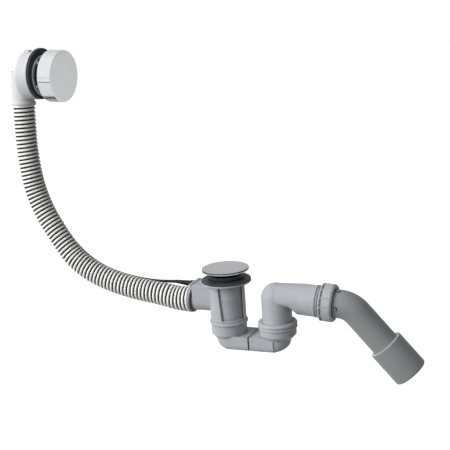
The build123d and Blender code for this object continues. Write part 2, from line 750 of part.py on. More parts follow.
pieces = {
    "waste_gasket": waste_gasket,
    "valve_seat": valve_seat,
    "waste_body": waste_body,
    "plug_cap": plug_cap,
    "plug_seal": plug_seal,
    "plug_stem": plug_stem,
    "stem_nut": stem_nut,
    "lift_wedge": lift_wedge,
    "wedge_guide": wedge_guide,
    "cable_wire": cable_wire,
    "cable_boot": cable_boot,
    "cable_sheath": cable_sheath,
    "cable_ferrule": cable_ferrule,
    "overflow_hose": overflow_hose,
    "hose_ring": hose_ring,
    "overflow_elbow": overflow_elbow,
    "head_gasket": head_gasket,
    "clamp_flange": clamp_flange,
    "clamp_screws": clamp_screws,
    "knob_spindle": knob_spindle,
    "cable_winch": cable_winch,
    "overflow_knob": overflow_knob,
    "trap_inlet_half": trap_inlet_half,
    "trap_outlet_half": trap_outlet_half,
    "trap_joint_seal": trap_joint_seal,
    "column_seal": column_seal,
    "riser_ring": riser_ring,
    "riser_seal": riser_seal,
    "outlet_elbow": outlet_elbow,
    "union_nut": union_nut,
    "cone_seal": cone_seal,
    "slip_washer": slip_washer,
    "outlet_bend": outlet_bend,
    "reducer_sleeve": reducer_sleeve,
    "sleeve_seal": sleeve_seal,
}

os.makedirs("parts", exist_ok=True)
for name, make in pieces.items():
    export_step(make(), f"parts/{name}.step")
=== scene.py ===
# %% [markdown]
# # Bath waste and overflow
#
# The set hangs under a bath. A chromed plug sits over a moulded waste column, the column drops into
# a low trap, a riser climbs out of the trap and turns into the outlet pipe, and a ribbed hose runs up
# to the overflow head with its turning knob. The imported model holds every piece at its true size, so
# this lesson only dresses it: each visible piece is drawn again as a finer surface in the same place,
# and each finish is built from shader nodes.

# %% The frame
import bpy
import bmesh
import json
import numpy as np
from math import cos, pi, radians, sin
from mathutils import Matrix, Vector


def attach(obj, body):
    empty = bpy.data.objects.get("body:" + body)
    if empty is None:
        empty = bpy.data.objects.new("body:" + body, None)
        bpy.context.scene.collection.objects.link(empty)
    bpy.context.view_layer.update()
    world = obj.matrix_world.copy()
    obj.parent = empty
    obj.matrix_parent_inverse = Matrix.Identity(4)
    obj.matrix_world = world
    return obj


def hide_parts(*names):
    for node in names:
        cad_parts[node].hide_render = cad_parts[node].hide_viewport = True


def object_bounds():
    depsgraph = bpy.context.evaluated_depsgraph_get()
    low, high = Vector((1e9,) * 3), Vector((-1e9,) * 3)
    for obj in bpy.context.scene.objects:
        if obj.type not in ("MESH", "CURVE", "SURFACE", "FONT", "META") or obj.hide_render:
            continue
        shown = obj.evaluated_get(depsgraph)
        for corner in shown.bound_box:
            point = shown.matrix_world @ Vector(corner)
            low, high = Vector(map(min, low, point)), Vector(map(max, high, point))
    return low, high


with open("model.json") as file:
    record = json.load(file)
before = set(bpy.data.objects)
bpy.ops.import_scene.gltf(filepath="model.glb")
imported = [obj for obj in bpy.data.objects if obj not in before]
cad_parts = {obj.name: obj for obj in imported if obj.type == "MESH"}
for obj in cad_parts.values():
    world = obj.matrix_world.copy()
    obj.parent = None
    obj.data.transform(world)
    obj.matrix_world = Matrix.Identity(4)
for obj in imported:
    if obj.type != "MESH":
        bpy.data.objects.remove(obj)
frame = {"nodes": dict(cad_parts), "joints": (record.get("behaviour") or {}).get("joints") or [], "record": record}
cad_low, cad_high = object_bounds()
record = frame["record"]
nodes = frame["nodes"]
bodies = record["behaviour"]["bodies"]
joints = {joint["name"]: joint for joint in frame["joints"]}
mounts = {mount["name"]: mount for mount in record["mounts"]}
body_of = {node: body for body, members in bodies.items() for node in members}

# %% [markdown]
# ## Places to build from
#
# A turned piece is easiest to describe about its own axis. Besides the upright one through the waste
# the set has five main ones: the riser, the outlet pipe that falls a little, the leg below the bend,
# the overflow head that leans back on its hose, and the pipe down from that head. They come from the
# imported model's joints and mounts. Lengths are in millimetres here, and become metres when a mesh is
# made.

# %% Axes of the set
MM = 0.001
ACROSS = (0, 1, 0)


def unit(vectors):
    """Vectors shortened or stretched to length 1."""
    vectors = np.asarray(vectors, float)
    return vectors / np.linalg.norm(vectors, axis=-1, keepdims=True)


def axes(origin, z_axis, x_axis):
    """A place: its origin, and three unit axes as the rows of a matrix."""
    z_axis = unit(z_axis)
    x_axis = unit(x_axis - z_axis * np.dot(x_axis, z_axis))
    return np.asarray(origin, float), np.array([x_axis, np.cross(z_axis, x_axis), z_axis])


def carried(local, place):
    """Points in a place's own axes, carried to the frame: origin plus each coordinate times its axis."""
    return place[0] + np.asarray(local) @ place[1]


def spun(place, angle, start=(0, 0, 0)):
    """A place turned by so many degrees about its own z axis, and moved to a local point."""
    turn = radians(angle)
    return axes(carried(start, place), place[1][2], cos(turn) * place[1][0] + sin(turn) * place[1][1])


waste = axes((0, 0, 0), (0, 0, 1), (1, 0, 0))
riser = axes((1000 * joints["riser_swivel"]["pos_m"][0], 0, 0), (0, 0, 1), (1, 0, 0))
head = axes(1000 * np.array(joints["knob_turn"]["pos_m"]), joints["knob_turn"]["axis"], ACROSS)
outlet = axes(1000 * np.array(joints["bend_swivel"]["pos_m"]), joints["bend_swivel"]["axis"], ACROSS)
bend_at = 107.7
bend_point = carried((0, 0, bend_at), outlet)
leg = axes(bend_point, mounts["outlet_spigot"]["axis"], ACROSS)
downpipe_back = -36.9
downpipe = axes(carried((0, 0, downpipe_back), head), head[1][1], ACROSS)
print("riser at", riser[0].round(1), "bend at", bend_point.round(1))

# %% [markdown]
# ## The camera
#
# The view was found by laying the known sizes over the picture: the camera stands a little to the
# right of the set, looks down by some thirteen degrees and is rolled by four. A camera's matrix is
# its three axes as columns with its place as the fourth, so it is written straight from those angles.

# %% Camera
picture = 450
view_azimuth, view_elevation, view_roll = np.radians([23.209, 12.735, 4.070])
focal_pixels = 896.16
shift_right, shift_up, distance = 1.415, -75.647, 1291.77


def shown(name, data):
    """A new object with this data, in the scene."""
    made = bpy.data.objects.new(name, data)
    bpy.context.scene.collection.objects.link(made)
    return made


back = np.array([sin(view_azimuth) * cos(view_elevation), -cos(view_azimuth) * cos(view_elevation),
                 sin(view_elevation)])
level = np.array([cos(view_azimuth), sin(view_azimuth), 0])
upright = np.cross(back, level)
right = level * cos(view_roll) - upright * sin(view_roll)
above = upright * cos(view_roll) + level * sin(view_roll)
stand = MM * (distance * back - shift_right * right - shift_up * above)

camera_data = bpy.data.cameras.new("camera")
camera_data.lens = focal_pixels / picture * camera_data.sensor_width
camera_data.clip_start = 0.05
camera = shown("camera", camera_data)
camera.matrix_world = Matrix(np.vstack([np.column_stack([right, above, back, stand]), [0, 0, 0, 1]]).tolist())
bpy.context.scene.camera = camera
print("lens", round(camera_data.lens, 1), "mm, camera at", stand.round(3))

# %% [markdown]
# ## From a grid of points to a mesh
#
# Almost every piece of plumbing is a profile turned about an axis or carried along a path. Both give
# a grid of points, and one array sum turns it into faces: the corner at row i and column j is number
# i times columns plus j. Rows or columns may close on themselves, and points that fall together at a
# pole are merged afterwards.

# %% Grids, turned profiles and finished pieces


def circle(turns):
    """So many even angles round a full turn."""
    return np.linspace(0, 2 * pi, turns, endpoint=False)


def polar(angle, radius, height):
    """Points round an axis: x is r cos a, y is r sin a."""
    return np.stack(np.broadcast_arrays(radius * np.cos(angle), radius * np.sin(angle), height), -1)


def eased(share):
    """A share held between 0 and 1 that starts and ends softly: s s (3 - 2 s)."""
    share = np.clip(share, 0, 1)
    return share * share * (3 - 2 * share)


def grid(points, close_rows=True, close_columns=True):
    """Corners, four-sided faces and texture places of a grid of points, rows by columns."""
    rows, columns = points.shape[:2]
    i, j = np.meshgrid(np.arange(rows if close_rows else rows - 1),
                       np.arange(columns if close_columns else columns - 1), indexing="ij")
    i, j = i.ravel(), j.ravel()
    below, beside = (i + 1) % rows, (j + 1) % columns
    faces = np.column_stack([i * columns + j, i * columns + beside, below * columns + beside,
                             below * columns + j])
    places = np.stack([np.column_stack([j, j + 1, j + 1, j]) / columns,
                       np.column_stack([i, i, i + 1, i + 1]) / rows], -1)
    return points.reshape(-1, 3), faces, places


def is_closed(outline):
    """Whether an outline is a loop. One whose two ends lie at 0, on the axis, is open."""
    return outline[0][0] != 0 or outline[-1][0] != 0


def rounded(corners, radius=0.5, steps=4, closed=None):
    """An outline whose corners become short parabolas between two cut points. The cut is the radius
    over the tangent of half the corner's angle, and never more than half of a side. A corner's third
    value is a radius of its own. An open outline keeps its two ends."""
    cut = np.array([corner[2] if len(corner) > 2 else radius for corner in corners], float)
    corner = np.array([corner[:2] for corner in corners], float)
    if not (is_closed(corners) if closed is None else closed):
        cut[[0, -1]] = 0
    to_last, to_next = np.roll(corner, 1, 0) - corner, np.roll(corner, -1, 0) - corner
    last, following = np.linalg.norm(to_last, axis=1), np.linalg.norm(to_next, axis=1)
    cosine = np.sum(to_last * to_next, 1) / (last * following)
    half = np.arccos(np.clip(cosine, -1, 1)) / 2
    cut = np.minimum(cut / np.tan(half), 0.49 * np.minimum(last, following))
    first = corner + to_last * (cut / last)[:, None]
    second = corner + to_next * (cut / following)[:, None]
    t = np.linspace(0, 1, steps)[None, :, None]
    arcs = (1 - t) ** 2 * first[:, None] + 2 * t * (1 - t) * corner[:, None] + t ** 2 * second[:, None]
    line = arcs.reshape(-1, 2)
    step = np.linalg.norm(line - np.roll(line, 1, 0), axis=1)
    step[0] = 1
    return line[step > 1e-6]


def band(inner, outer, foot, top, radius=0.5, steps=4):
    """The outline of a plain ring: a rectangle with rounded corners."""
    return rounded([(inner, foot), (outer, foot), (outer, top), (inner, top)], radius, steps)


def turned(profile, place=waste, turns=128, swell=None, shift=(0, 0)):
    """A profile of (radius, height) turned about a place's axis. The swell adds to the radius by angle
    and height."""
    angle = circle(turns)[None, :]
    radius, height = profile[:, :1], profile[:, 1:]
    if swell is not None:
        radius = radius + swell(angle, height, radius)
    return grid(carried(polar(angle, radius, height) + [*shift, 0], place), is_closed(profile))


def block(low, high, radius=0.5, counts=(1, 1, 1), bent=None, place=waste):
    """A block with rounded edges: six grids whose points are pulled in to a block that is smaller by
    the radius, and pushed out again by the radius along that line. The bent function carries the
    local points on to a new form."""
    low, high = np.asarray(low, float), np.asarray(high, float)
    middle, half = (low + high) / 2, (high - low) / 2
    edge = radius * np.tan(np.linspace(0, pi / 4, 4))
    lines = [np.unique(np.concatenate([-h + radius - edge, np.linspace(-h + radius, h - radius, n + 1),
                                       h - radius + edge]).round(6)) for h, n in zip(half, counts)]
    sides = []
    for axis in range(3):
        for end in (-1, 1):
            a, b = np.meshgrid(lines[axis - 2], lines[axis - 1], indexing="ij")
            flat = np.empty(a.shape + (3,))
            flat[..., axis], flat[..., axis - 2], flat[..., axis - 1] = end * half[axis], a, b
            core = np.clip(flat, radius - half, half - radius)
            solid = core + radius * unit(flat - core) + middle
            solid = solid if bent is None else bent(solid)
            sides.append(grid(carried(solid, place), False, False))
    return joined(sides)


def bent_round(first, sweep, length):
    """A bend for blocks: x from 0 to a length becomes an angle in degrees, and y is the radius."""
    def bend(local):
        return polar(np.radians(first + sweep * local[..., 0] / length), local[..., 1], local[..., 2])

    return bend


def joined(patches):
    """Several patches as one: the faces of each are renumbered past the corners before it."""
    starts = np.cumsum([0] + [len(patch[0]) for patch in patches[:-1]])
    corners = np.concatenate([patch[0] for patch in patches])
    faces = np.concatenate([patch[1] + start for patch, start in zip(patches, starts)])
    return corners, faces, np.concatenate([patch[2] for patch in patches])


def mesh_of(name, patches, crease=32):
    """A mesh in metres with merged poles, outward faces, smooth shading and sharp creases."""
    corners, faces, places = joined(patches)
    mesh = bpy.data.meshes.new(name)
    mesh.from_pydata((corners * MM).tolist(), [], faces.tolist())
    layer = mesh.uv_layers.new(name="UVMap")
    layer.data.foreach_set("uv", places.astype(np.float32).ravel())
    skin = bmesh.new()
    skin.from_mesh(mesh)
    bmesh.ops.remove_doubles(skin, verts=skin.verts, dist=1e-6)
    bmesh.ops.recalc_face_normals(skin, faces=skin.faces)
    skin.to_mesh(mesh)
    skin.free()
    mesh.shade_smooth()
    mesh.set_sharp_from_angle(angle=radians(crease))
    return mesh


def piece(name, patches, material, node, crease=32, extra=False):
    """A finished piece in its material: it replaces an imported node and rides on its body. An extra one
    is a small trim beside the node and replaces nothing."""
    finished = shown(name, mesh_of(name, patches, crease))
    finished.data.materials.append(material)
    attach(finished, body_of[node])
    if not extra:
        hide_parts(node)
    print(name, len(finished.data.polygons), "faces")
    return finished


# %% [markdown]
# ## Finishes
#
# The set is mostly moulded grey plastic. Up close it is never one flat colour: the pigment clouds a
# little, the mould leaves a fine grain, and handling polishes it unevenly. Each finish is a
# Principled shader whose colour, roughness and bump come from noise on Object coordinates, so the
# pattern stays fixed to the piece.

# %% Noise-fed shaders


def feed(tree, node, inputs):
    """Gives each input of a node its value, or a link where the value is another node's output."""
    for socket, value in inputs.items():
        if isinstance(value, bpy.types.NodeSocket):
            tree.links.new(value, node.inputs[socket])
        else:
            node.inputs[socket].default_value = value


def add(tree, kind, inputs=(), output=0, **settings):
    """A new node of a kind with its settings and inputs. What comes back is one of its outputs."""
    node = tree.nodes.new(kind)
    for name, value in settings.items():
        setattr(node, name, value)
    feed(tree, node, dict(inputs))
    return node.outputs[output]


def maths(tree, operation, *values):
    """One step of arithmetic on numbers and outputs."""
    return add(tree, "ShaderNodeMath", enumerate(values), operation=operation)


def shader(name, roughness, metallic=0.0, specular=0.5):
    """A new material, its nodes, and its Principled shader with the even values set."""
    material = bpy.data.materials.new(name)
    material.use_nodes = True
    tree = material.node_tree
    principled = tree.nodes["Principled BSDF"]
    feed(tree, principled, {"Roughness": roughness, "Metallic": metallic, "Specular IOR Level": specular})
    return material, tree, principled


def noise(tree, scale, detail=3.0, stretch=(1, 1, 1)):
    """Noise of so many features to the metre, on Object coordinates, stretched along the axes."""
    place = add(tree, "ShaderNodeTexCoord", output="Object")
    mapped = add(tree, "ShaderNodeMapping", {"Vector": place, "Scale": stretch})
    return add(tree, "ShaderNodeTexNoise", {"Vector": mapped, "Scale": scale, "Detail": detail}, "Fac")


def ramp(tree, source, stops):
    """A colour ramp with a list of (place, grey or colour) stops."""
    made = add(tree, "ShaderNodeValToRGB", {"Fac": source}, "Color")
    elements = made.node.color_ramp.elements
    for number, (place, colour) in enumerate(stops):
        stop = elements[number] if number < 2 else elements.new(place)
        stop.position = place
        stop.color = (*colour, 1) if isinstance(colour, tuple) else (colour, colour, colour, 1)
    return made


def bumped(tree, principled, height, depth, strength):
    """Feeds a height, whose full range is so many metres deep, to the shader's normal."""
    bump = add(tree, "ShaderNodeBump", {"Height": height, "Distance": depth, "Strength": strength})
    feed(tree, principled, {"Normal": bump})


def shade(colour, amount):
    """A colour made lighter or darker by a factor."""
    return tuple(min(1, channel * amount) for channel in colour)


def moulded(name, colour, roughness, cloud=0.05, grain=0.00004):
    """Moulded plastic: clouded pigment, uneven sheen and the mould's fine grain."""
    material, tree, principled = shader(name, roughness, specular=0.3)
    tints = [(0.32, shade(colour, 1 - cloud)), (0.55, colour), (0.75, shade(colour, 1 + cloud))]
    pigment = ramp(tree, noise(tree, cloud_scale, 4), tints)
    sheen = ramp(tree, noise(tree, sheen_scale), [(0.3, roughness - 0.06), (0.7, roughness + 0.08)])
    feed(tree, principled, {"Base Color": pigment, "Roughness": sheen})
    bumped(tree, principled, noise(tree, grain_scale, 2), grain, 0.6)
    return material


cloud_scale, sheen_scale, grain_scale = 38, 90, 1400
grey_plastic = moulded("grey plastic", (0.385, 0.400, 0.425), 0.42)
pipe_plastic = moulded("pipe plastic", (0.235, 0.240, 0.250), 0.36, cloud=0.04)
light_plastic = moulded("light plastic", (0.56, 0.575, 0.59), 0.38, cloud=0.025)
pale_trim = moulded("pale trim", (0.78, 0.80, 0.81), 0.40, cloud=0.03)
# A lighter copy of the pipe's plastic: a painted highlight for the sleeve's top rim.
rim_highlight_plastic = moulded("rim painted highlight", (0.45, 0.465, 0.475), 0.35)
ring_plastic = moulded("ring plastic", (0.26, 0.26, 0.29), 0.40)
purple_rubber = moulded("purple rubber", (0.050, 0.040, 0.075), 0.45)
# Black plastic for the seat and clamp, and painted shade in the knob, its parting groove and round the stops.
black_plastic_and_painted_shade = moulded("black plastic and painted shade", (0.016, 0.017, 0.019), 0.34, cloud=0.2)
# Black rubber for the gaskets and seals, and painted shade in the plug's groove.
black_rubber_and_painted_shade = moulded("black rubber and painted shade", (0.045, 0.050, 0.054), 0.50, cloud=0.25, grain=0.00008)
sheath_vinyl = moulded("sheath vinyl", (0.012, 0.012, 0.020), 0.28, cloud=0.2)
print(len(bpy.data.materials), "materials, those of the packed model included")

# %% [markdown]
# ## Metal
#
# Chrome shows its surroundings more than itself. The plug and the knob are satin rather than mirror
# bright, so their roughness is broken up by a fine noise that is stretched along one axis, as a
# polishing wheel leaves it. Brass and steel inside the set use the same recipe.

# %% Metals


def metal(name, colour, roughness, stretch=(1, 1, 12)):
    """Polished metal: faint colour drift, and roughness that follows the polishing marks."""
    material, tree, principled = shader(name, roughness, metallic=1.0)
    drift = ramp(tree, noise(tree, 25, 2), [(0.3, shade(colour, 0.96)), (0.7, shade(colour, 1.03))])
    marks = noise(tree, 420, 4, stretch)
    rough = ramp(tree, marks, [(0.3, roughness - 0.03), (0.7, roughness + 0.05)])
    feed(tree, principled, {"Base Color": drift, "Roughness": rough})
    bumped(tree, principled, marks, 0.00001, 0.3)
    return material


plug_chrome = metal("plug chrome", (0.46, 0.465, 0.49), 0.22, (6, 1, 1))
knob_chrome = metal("knob chrome", (0.66, 0.665, 0.68), 0.24, (1, 1, 8))
brass = metal("brass", (0.62, 0.46, 0.20), 0.28)
steel = metal("bright steel", (0.55, 0.55, 0.55), 0.30)
print(len(bpy.data.materials), "materials with the metals")

# %% [markdown]
# ## The hose's stripes
#
# The hose is a pale rigid spiral in a darker flexible wall, so dark lines wind round it between the
# ribs. Its grid counts round in U and along in V. The spiral's phase is therefore V times the number
# of turns less U, and the part after the comma says where in one turn a point lies. The same sum
# shapes the ribs further down.

# %% Striped vinyl
hose_turns = 77
stripe_share = 0.42


def striped_vinyl():
    """Hose vinyl: off-white ribs, and a dark line in the groove between two turns."""
    material, tree, principled = shader("hose vinyl", 0.38, specular=0.2)
    places = add(tree, "ShaderNodeUVMap", output="UV", uv_map="UVMap")
    split = add(tree, "ShaderNodeSeparateXYZ", {"Vector": places}).node.outputs
    phase = maths(tree, "SUBTRACT", maths(tree, "MULTIPLY_ADD", split["Y"], hose_turns, 1.0), split["X"])
    rib, edge, line = (0.95, 0.94, 0.91), (0.26, 0.25, 0.24), (0.006, 0.006, 0.008)
    low, high = 0.5 - stripe_share / 2, 0.5 + stripe_share / 2
    stops = [(0.0, rib), (1.0, rib), (low - 0.05, rib), (low, edge), (low + 0.06, line),
             (high - 0.06, line), (high, edge), (high + 0.05, rib)]
    stripes = ramp(tree, maths(tree, "FRACT", phase), stops)
    cloud = ramp(tree, noise(tree, 60), [(0.3, 0.93), (0.7, 1.0)])
    clouded = add(tree, "ShaderNodeMix", {"Factor": 1.0, "A": stripes, "B": cloud}, "Result",
                  data_type="RGBA", blend_type="MULTIPLY")
    feed(tree, principled, {"Base Color": clouded})
    bumped(tree, principled, noise(tree, 900, 2), 0.00005, 0.5)
    return material


hose_vinyl = striped_vinyl()
print("stripes for", hose_turns, "turns")

# %% [markdown]
# ## Waste column
#
# The column is one moulding: a flange under the bath, a pipe, and round the pipe a wider shell that
# is cut away in a tall window. A cable chamber with a clip strip stands on its side above the hose
# inlet. The turned parts are profiles, the shell is a block bent round the axis with one slanted
# edge, and the chamber is one section carried along. They are closed skins of one mesh that run into
# each other, as the moulding's walls do.

# %% Sizes of the column
flange_r, flange_top, flange_foot = 36.3, -3.7, -5.9
column_r, column_bore, column_foot = 22.5, 20.5, -78.0
shell_r, shell_inner, shell_foot, shell_floor = 26.0, 24.2, -61.2, -58.8
window_left_top, window_left_foot, window_right = -98.6, -89.5, -7.0
inlet_z, inlet_r, inlet_bore, inlet_end = -35.9, 15.0, 11.3, -54.5
chamber_top = -9.5
shell_span = np.radians(285) * shell_r


def round_the_axis(local):
    """Bends a block: x runs round the shell, y is the radius and z the height. The window's left edge
    slants, so the angle there is a straight line of the height."""
    share = (local[..., 2] - shell_foot) / (flange_foot - shell_foot)
    left = 360 + window_left_foot + (window_left_top - window_left_foot) * share
    angle = np.radians(window_right + (left - window_right) * local[..., 0] / shell_span)
    return polar(angle, local[..., 1], local[..., 2])


# %% The column's skins
ridge = 0.35
beads = [corner for foot, top in ((-56.2, -55.4), (-53.6, -52.6), (-29, -28.2))
         for corner in ((column_r, foot - 0.4), (column_r + ridge, foot), (column_r + ridge, top),
                        (column_r, top + 0.4))]
column_line = rounded([
    (column_bore, column_foot), (column_r, column_foot), *beads, (column_r, flange_top - 0.1),
    (column_bore, flange_top - 0.1)], 0.3, 3)
flange_line = band(column_bore, flange_r, flange_foot, flange_top, 0.6)
floor_line = band(column_bore + 0.3, shell_r, shell_foot, shell_floor)
inlet = axes((0, 0, inlet_z), (-1, 0, 0), (0, 1, 0))
inlet_line = rounded([
    (inlet_bore, 19), (inlet_r, 19), (inlet_r, -inlet_end - 1.6), (inlet_r + 0.7, -inlet_end - 1.2),
    (inlet_r + 0.7, -inlet_end), (13.4, -inlet_end), (13.4, -inlet_end + 11),
    (inlet_bore, -inlet_end + 11)], 0.3, 6)


def chamber(start, end):
    """The cable chamber's section, flat on top, with its front face running down into the inlet's
    round, carried straight along x."""
    foot = np.radians(np.linspace(180, 345, 24))
    lower = np.column_stack([inlet_r * np.cos(foot), inlet_z + inlet_r * np.sin(foot)])
    upper = rounded([(inlet_r, inlet_z), (20, -23.4), (20, chamber_top, 1.2), (-inlet_r, chamber_top, 1.6),
                     (-inlet_r, inlet_z)], 1.5, 6, False)
    middle = np.array([2.0, -20.0])
    x = np.array([start, start, start + 0.5, end - 0.5, end, end])[:, None, None]
    shrink = np.array([0, 0.97, 1, 1, 0.97, 0])[:, None, None]
    rings = middle + (np.vstack([upper, lower]) - middle) * shrink
    return grid(np.concatenate([np.broadcast_to(x, rings.shape[:2] + (1,)), rings], -1), False, True)


column_skins = [turned(column_line), turned(flange_line),
                turned(floor_line), turned(inlet_line, inlet, 96),
                block((0, shell_inner, shell_foot + 0.4), (shell_span, shell_r, flange_foot + 0.6), 0.5,
                      (100, 1, 24), round_the_axis),
                chamber(-49.6, -19),
                block((-53.6, -15.4, chamber_top - 1.4), (-48.8, 20.6, chamber_top + 0.9), 0.5)]
ribs = [block((column_r - 1, -0.8, shell_foot + 0.5), (shell_r - 0.6, 0.8, flange_foot + 0.5), 0.3,
              place=spun(waste, angle))
        for angle in (window_right + 12, 100, 150)]
piece("waste_column", column_skins + ribs, grey_plastic, "waste_body")

# %% [markdown]
# ## Gasket, seat and plug
#
# Rubber and black plastic show only by their edges, so every lip is rounded and stepped. The plug is
# a shallow dish: a faintly domed face, a soft shoulder, and under it a fine groove above a thin lip,
# which makes its bright double edge.

# %% Gasket and seat
gasket_line = rounded([
    (22.6, -3.7), (35.7, -3.7), (36, -3.2), (35.9, -1.2, 0.6), (31, -0.1, 1), (29.6, -0.1, 0.2),
    (29.2, -0.5, 0.2), (28.2, -0.5, 0.2), (27.8, 0, 0.2), (26.3, 0, 0.1), (26.3, -0.5, 0.1),
    (22.6, -0.5)], 0.3)
piece("bath_gasket", [turned(gasket_line, turns=144)], black_rubber_and_painted_shade, "waste_gasket")
seat_line = rounded([
    (20.4, -10.5), (20.4, -0.5, 0.2), (26, -0.5, 0.2), (26, 5.6, 0.5), (25.5, 6.5, 0.4), (24.6, 6.5),
    (24.4, 5.9), (24.4, 2.2, 1), (18.6, -2, 1), (18.6, -10.5)], 0.3)
spokes = [block((4, -1.2, -8), (19.2, 1.2, -3), 0.4, place=spun(waste, angle))
          for angle in (45, 135, 225, 315)]
piece("screw_in_seat", [turned(seat_line), turned(band(3.1, 6, -9, -2), turns=48)] + spokes,
      black_plastic_and_painted_shade, "valve_seat")

# %% Plug
plug_line = rounded([
    (0, 16.6), (14, 16.5, 6), (27, 16.25, 6), (32.4, 15.9, 1.5), (34, 15.2), (34, 14.9, 0.2),
    (32.6, 14.7, 0.2), (32.6, 13.5), (34.3, 13.3), (34.3, 12), (33.9, 11.6), (32.4, 11.6),
    (31.9, 14.1, 0.5), (5, 14.2, 0.5), (5, 9, 0.5), (2.4, 9), (2.4, 13.7), (0, 13.7)], 0.3, 6)
piece("chromed_plug", [turned(plug_line, turns=160)], plug_chrome, "plug_cap")
# A black band on the floor of the plug's groove: painted shade in the groove.
groove_shade_band = turned(band(32.4, 33.5, 13.45, 14.75, 0.2), turns=160)
piece("plug_groove_shade", [groove_shade_band], black_rubber_and_painted_shade, "plug_cap", extra=True)

# %% [markdown]
# ## Trap
#
# The trap is a low channel in two halves, flat on top with upright sides and a rounded foot, and its
# ends are half round. Half of its section, from the middle of the top to the middle of the foot, is
# carried round the outline: along one side, round the end, and back along the other. Joining the
# last place to the first closes the cut face at the seam. A thin border stands proud round the top
# panel. Both ends are scooped in towards the foot, and the right-hand end is set back under the top
# as well, which draws the upright edge where the flat side stops.

# %% Trap halves
trap_top, trap_foot, trap_half, trap_round = -81.4, -103.5, 22.5, 14.0
seam_x, seam_gap, border, slope, panel_depth = 37.0, 2.5, 1.7, 0.4, 0.8
step_depth, end_step, scoop, end_steps = 2.75, 1.6, 9.0, 49


def channel(seam, middle, set_back):
    """Half of the channel: (distance from the mid plane, height) carried round the end at a middle."""
    inner = trap_half - border
    half = rounded([
        (0, trap_top - panel_depth), (inner, trap_top - panel_depth), (inner + slope, trap_top),
        (trap_half, trap_top, 0.5), (trap_half, trap_top - step_depth + 0.15, 0.1),
        (trap_half, trap_top - step_depth - 0.15, 0.1), (trap_half, trap_foot, trap_round),
        (0, trap_foot)], 0.2, 9)
    distance, height = half[None, :, 0], half[None, :, 1]
    run, way = abs(middle - seam), np.sign(middle - seam)
    straight = np.array([0, border - slope, border, 3, 12, 24, run])
    straight = seam + way * straight[straight <= run + 1e-6]
    still, last_angle = np.zeros(len(straight)), 90 - 180 * way
    centre = np.concatenate([straight, np.full(end_steps, middle), straight[::-1]])
    at_end = np.concatenate([still, np.ones(end_steps), still])[:, None]
    angle = np.radians(np.concatenate([still + 90, np.linspace(90, last_angle, end_steps),
                                       still + last_angle]))[:, None]
    from_seam = np.clip((np.abs(centre - seam) - border + slope) / slope, 0, 1)[:, None]
    panel = (distance < inner + 0.2) & (height > trap_top - 1)
    lift = np.where(panel, (1 - from_seam) * (trap_top - height), 0)
    depth = np.clip((trap_top - height) / (trap_top - trap_foot), 0, 1)
    low = height < trap_top - step_depth
    inwards = at_end * (set_back * low + scoop * np.abs(np.cos(angle)) * depth ** 2)
    distance = distance - inwards * np.minimum(1, distance / 8)
    local = [centre[:, None] + distance * np.cos(angle), distance * np.sin(angle), height + lift]
    return grid(np.stack(local, -1), True, False)


left_cup = rounded([
    (20, -86.4), (22, -86, 1), (26, -81.4, 2.2), (26, -66.9, 1), (27.6, -65.9, 0.6), (28, -64.6),
    (27.6, -62.6, 0.6), (26.6, -61.5), (23.1, -61.5, 0.4), (23.1, -64.4, 0.4), (24, -65.4, 0.4),
    (24, -79.4, 1), (20, -84)], 0.5, 5)
right_cup = rounded([
    (20, -84.4), (22.4, -83.6, 1), (26.6, -79.3, 1.5), (26.6, -70, 0.3), (24.2, -70, 0.3),
    (24.2, -78.4, 1), (20, -82)], 0.5, 5)
trap_middles = trap_half - 20.5, riser[0][0] + 21.5 - trap_half
piece("trap_left", [channel(seam_x - seam_gap / 2, trap_middles[0], 0), turned(left_cup)],
      grey_plastic, "trap_inlet_half")
piece("trap_right", [channel(seam_x + seam_gap / 2, trap_middles[1], end_step),
                     turned(right_cup, riser)], grey_plastic, "trap_outlet_half")
ring_line = rounded([
    (24.2, -70), (26.8, -70), (28.3, -68.8), (28.3, -67.4), (27.2, -66.6), (27.2, -65.4), (28.3, -64.4),
    (28.3, -62.4), (27.4, -60.9), (26.6, -60.3), (21.9, -60.3), (21.9, -63.3), (24.2, -64.5)], 0.5, 5)
piece("ridged_ring", [turned(ring_line, riser)], grey_plastic, "riser_ring")

# %% [markdown]
# ## Elbow and union nut
#
# The riser ends in a ball from which a neck runs out level. Its top is one straight line with the
# ball, and its underside is flatter and then swells down to the socket, so the section is a half
# circle above and a half ellipse below whose height eases along the run. The socket carries a bead
# and the first turns of its thread. The nut has a lip, a groove with small bridges, and twelve panels
# behind a bevelled front.

# %% Elbow
riser_r, ball_z, socket_r = 21.5, -26.0, 22.2
neck_mid, neck_end, neck_foot = 27.0, 39.0, 12.0
arc = np.linspace(0, pi / 2, 16)
ball = np.column_stack([riser_r * np.cos(arc), ball_z + riser_r * np.sin(arc)])
ball[-1, 0] = 0
riser_line = np.vstack([[0, -77], [riser_r - 0.8, -77], [riser_r, -76.2], ball])


def neck():
    """Neck sections along the outlet axis: width, top and foot ease between their values."""
    along = np.linspace(0, neck_end, 40)
    swollen = eased((along - neck_mid + 5) / (neck_end - neck_mid + 3))
    over = riser_r - 0.4 + (socket_r - riser_r + 0.35) * along / neck_end
    under = neck_foot + (socket_r - neck_foot) * swollen
    drop = (outlet[0][2] - ball_z) * (1 - along / neck_end)
    angle = circle(96)
    tall = np.where(np.sin(angle)[None, :] >= 0, over[:, None], under[:, None])
    ring = np.stack([over[:, None] * np.cos(angle), tall * np.sin(angle) - drop[:, None],
                     along[:, None] + 0 * angle], -1)
    first, last = ring[:1] * [0, 0, 1], ring[-1:] * [0, 0, 1]
    return grid(carried(np.concatenate([first, ring, last]), outlet), False, True)


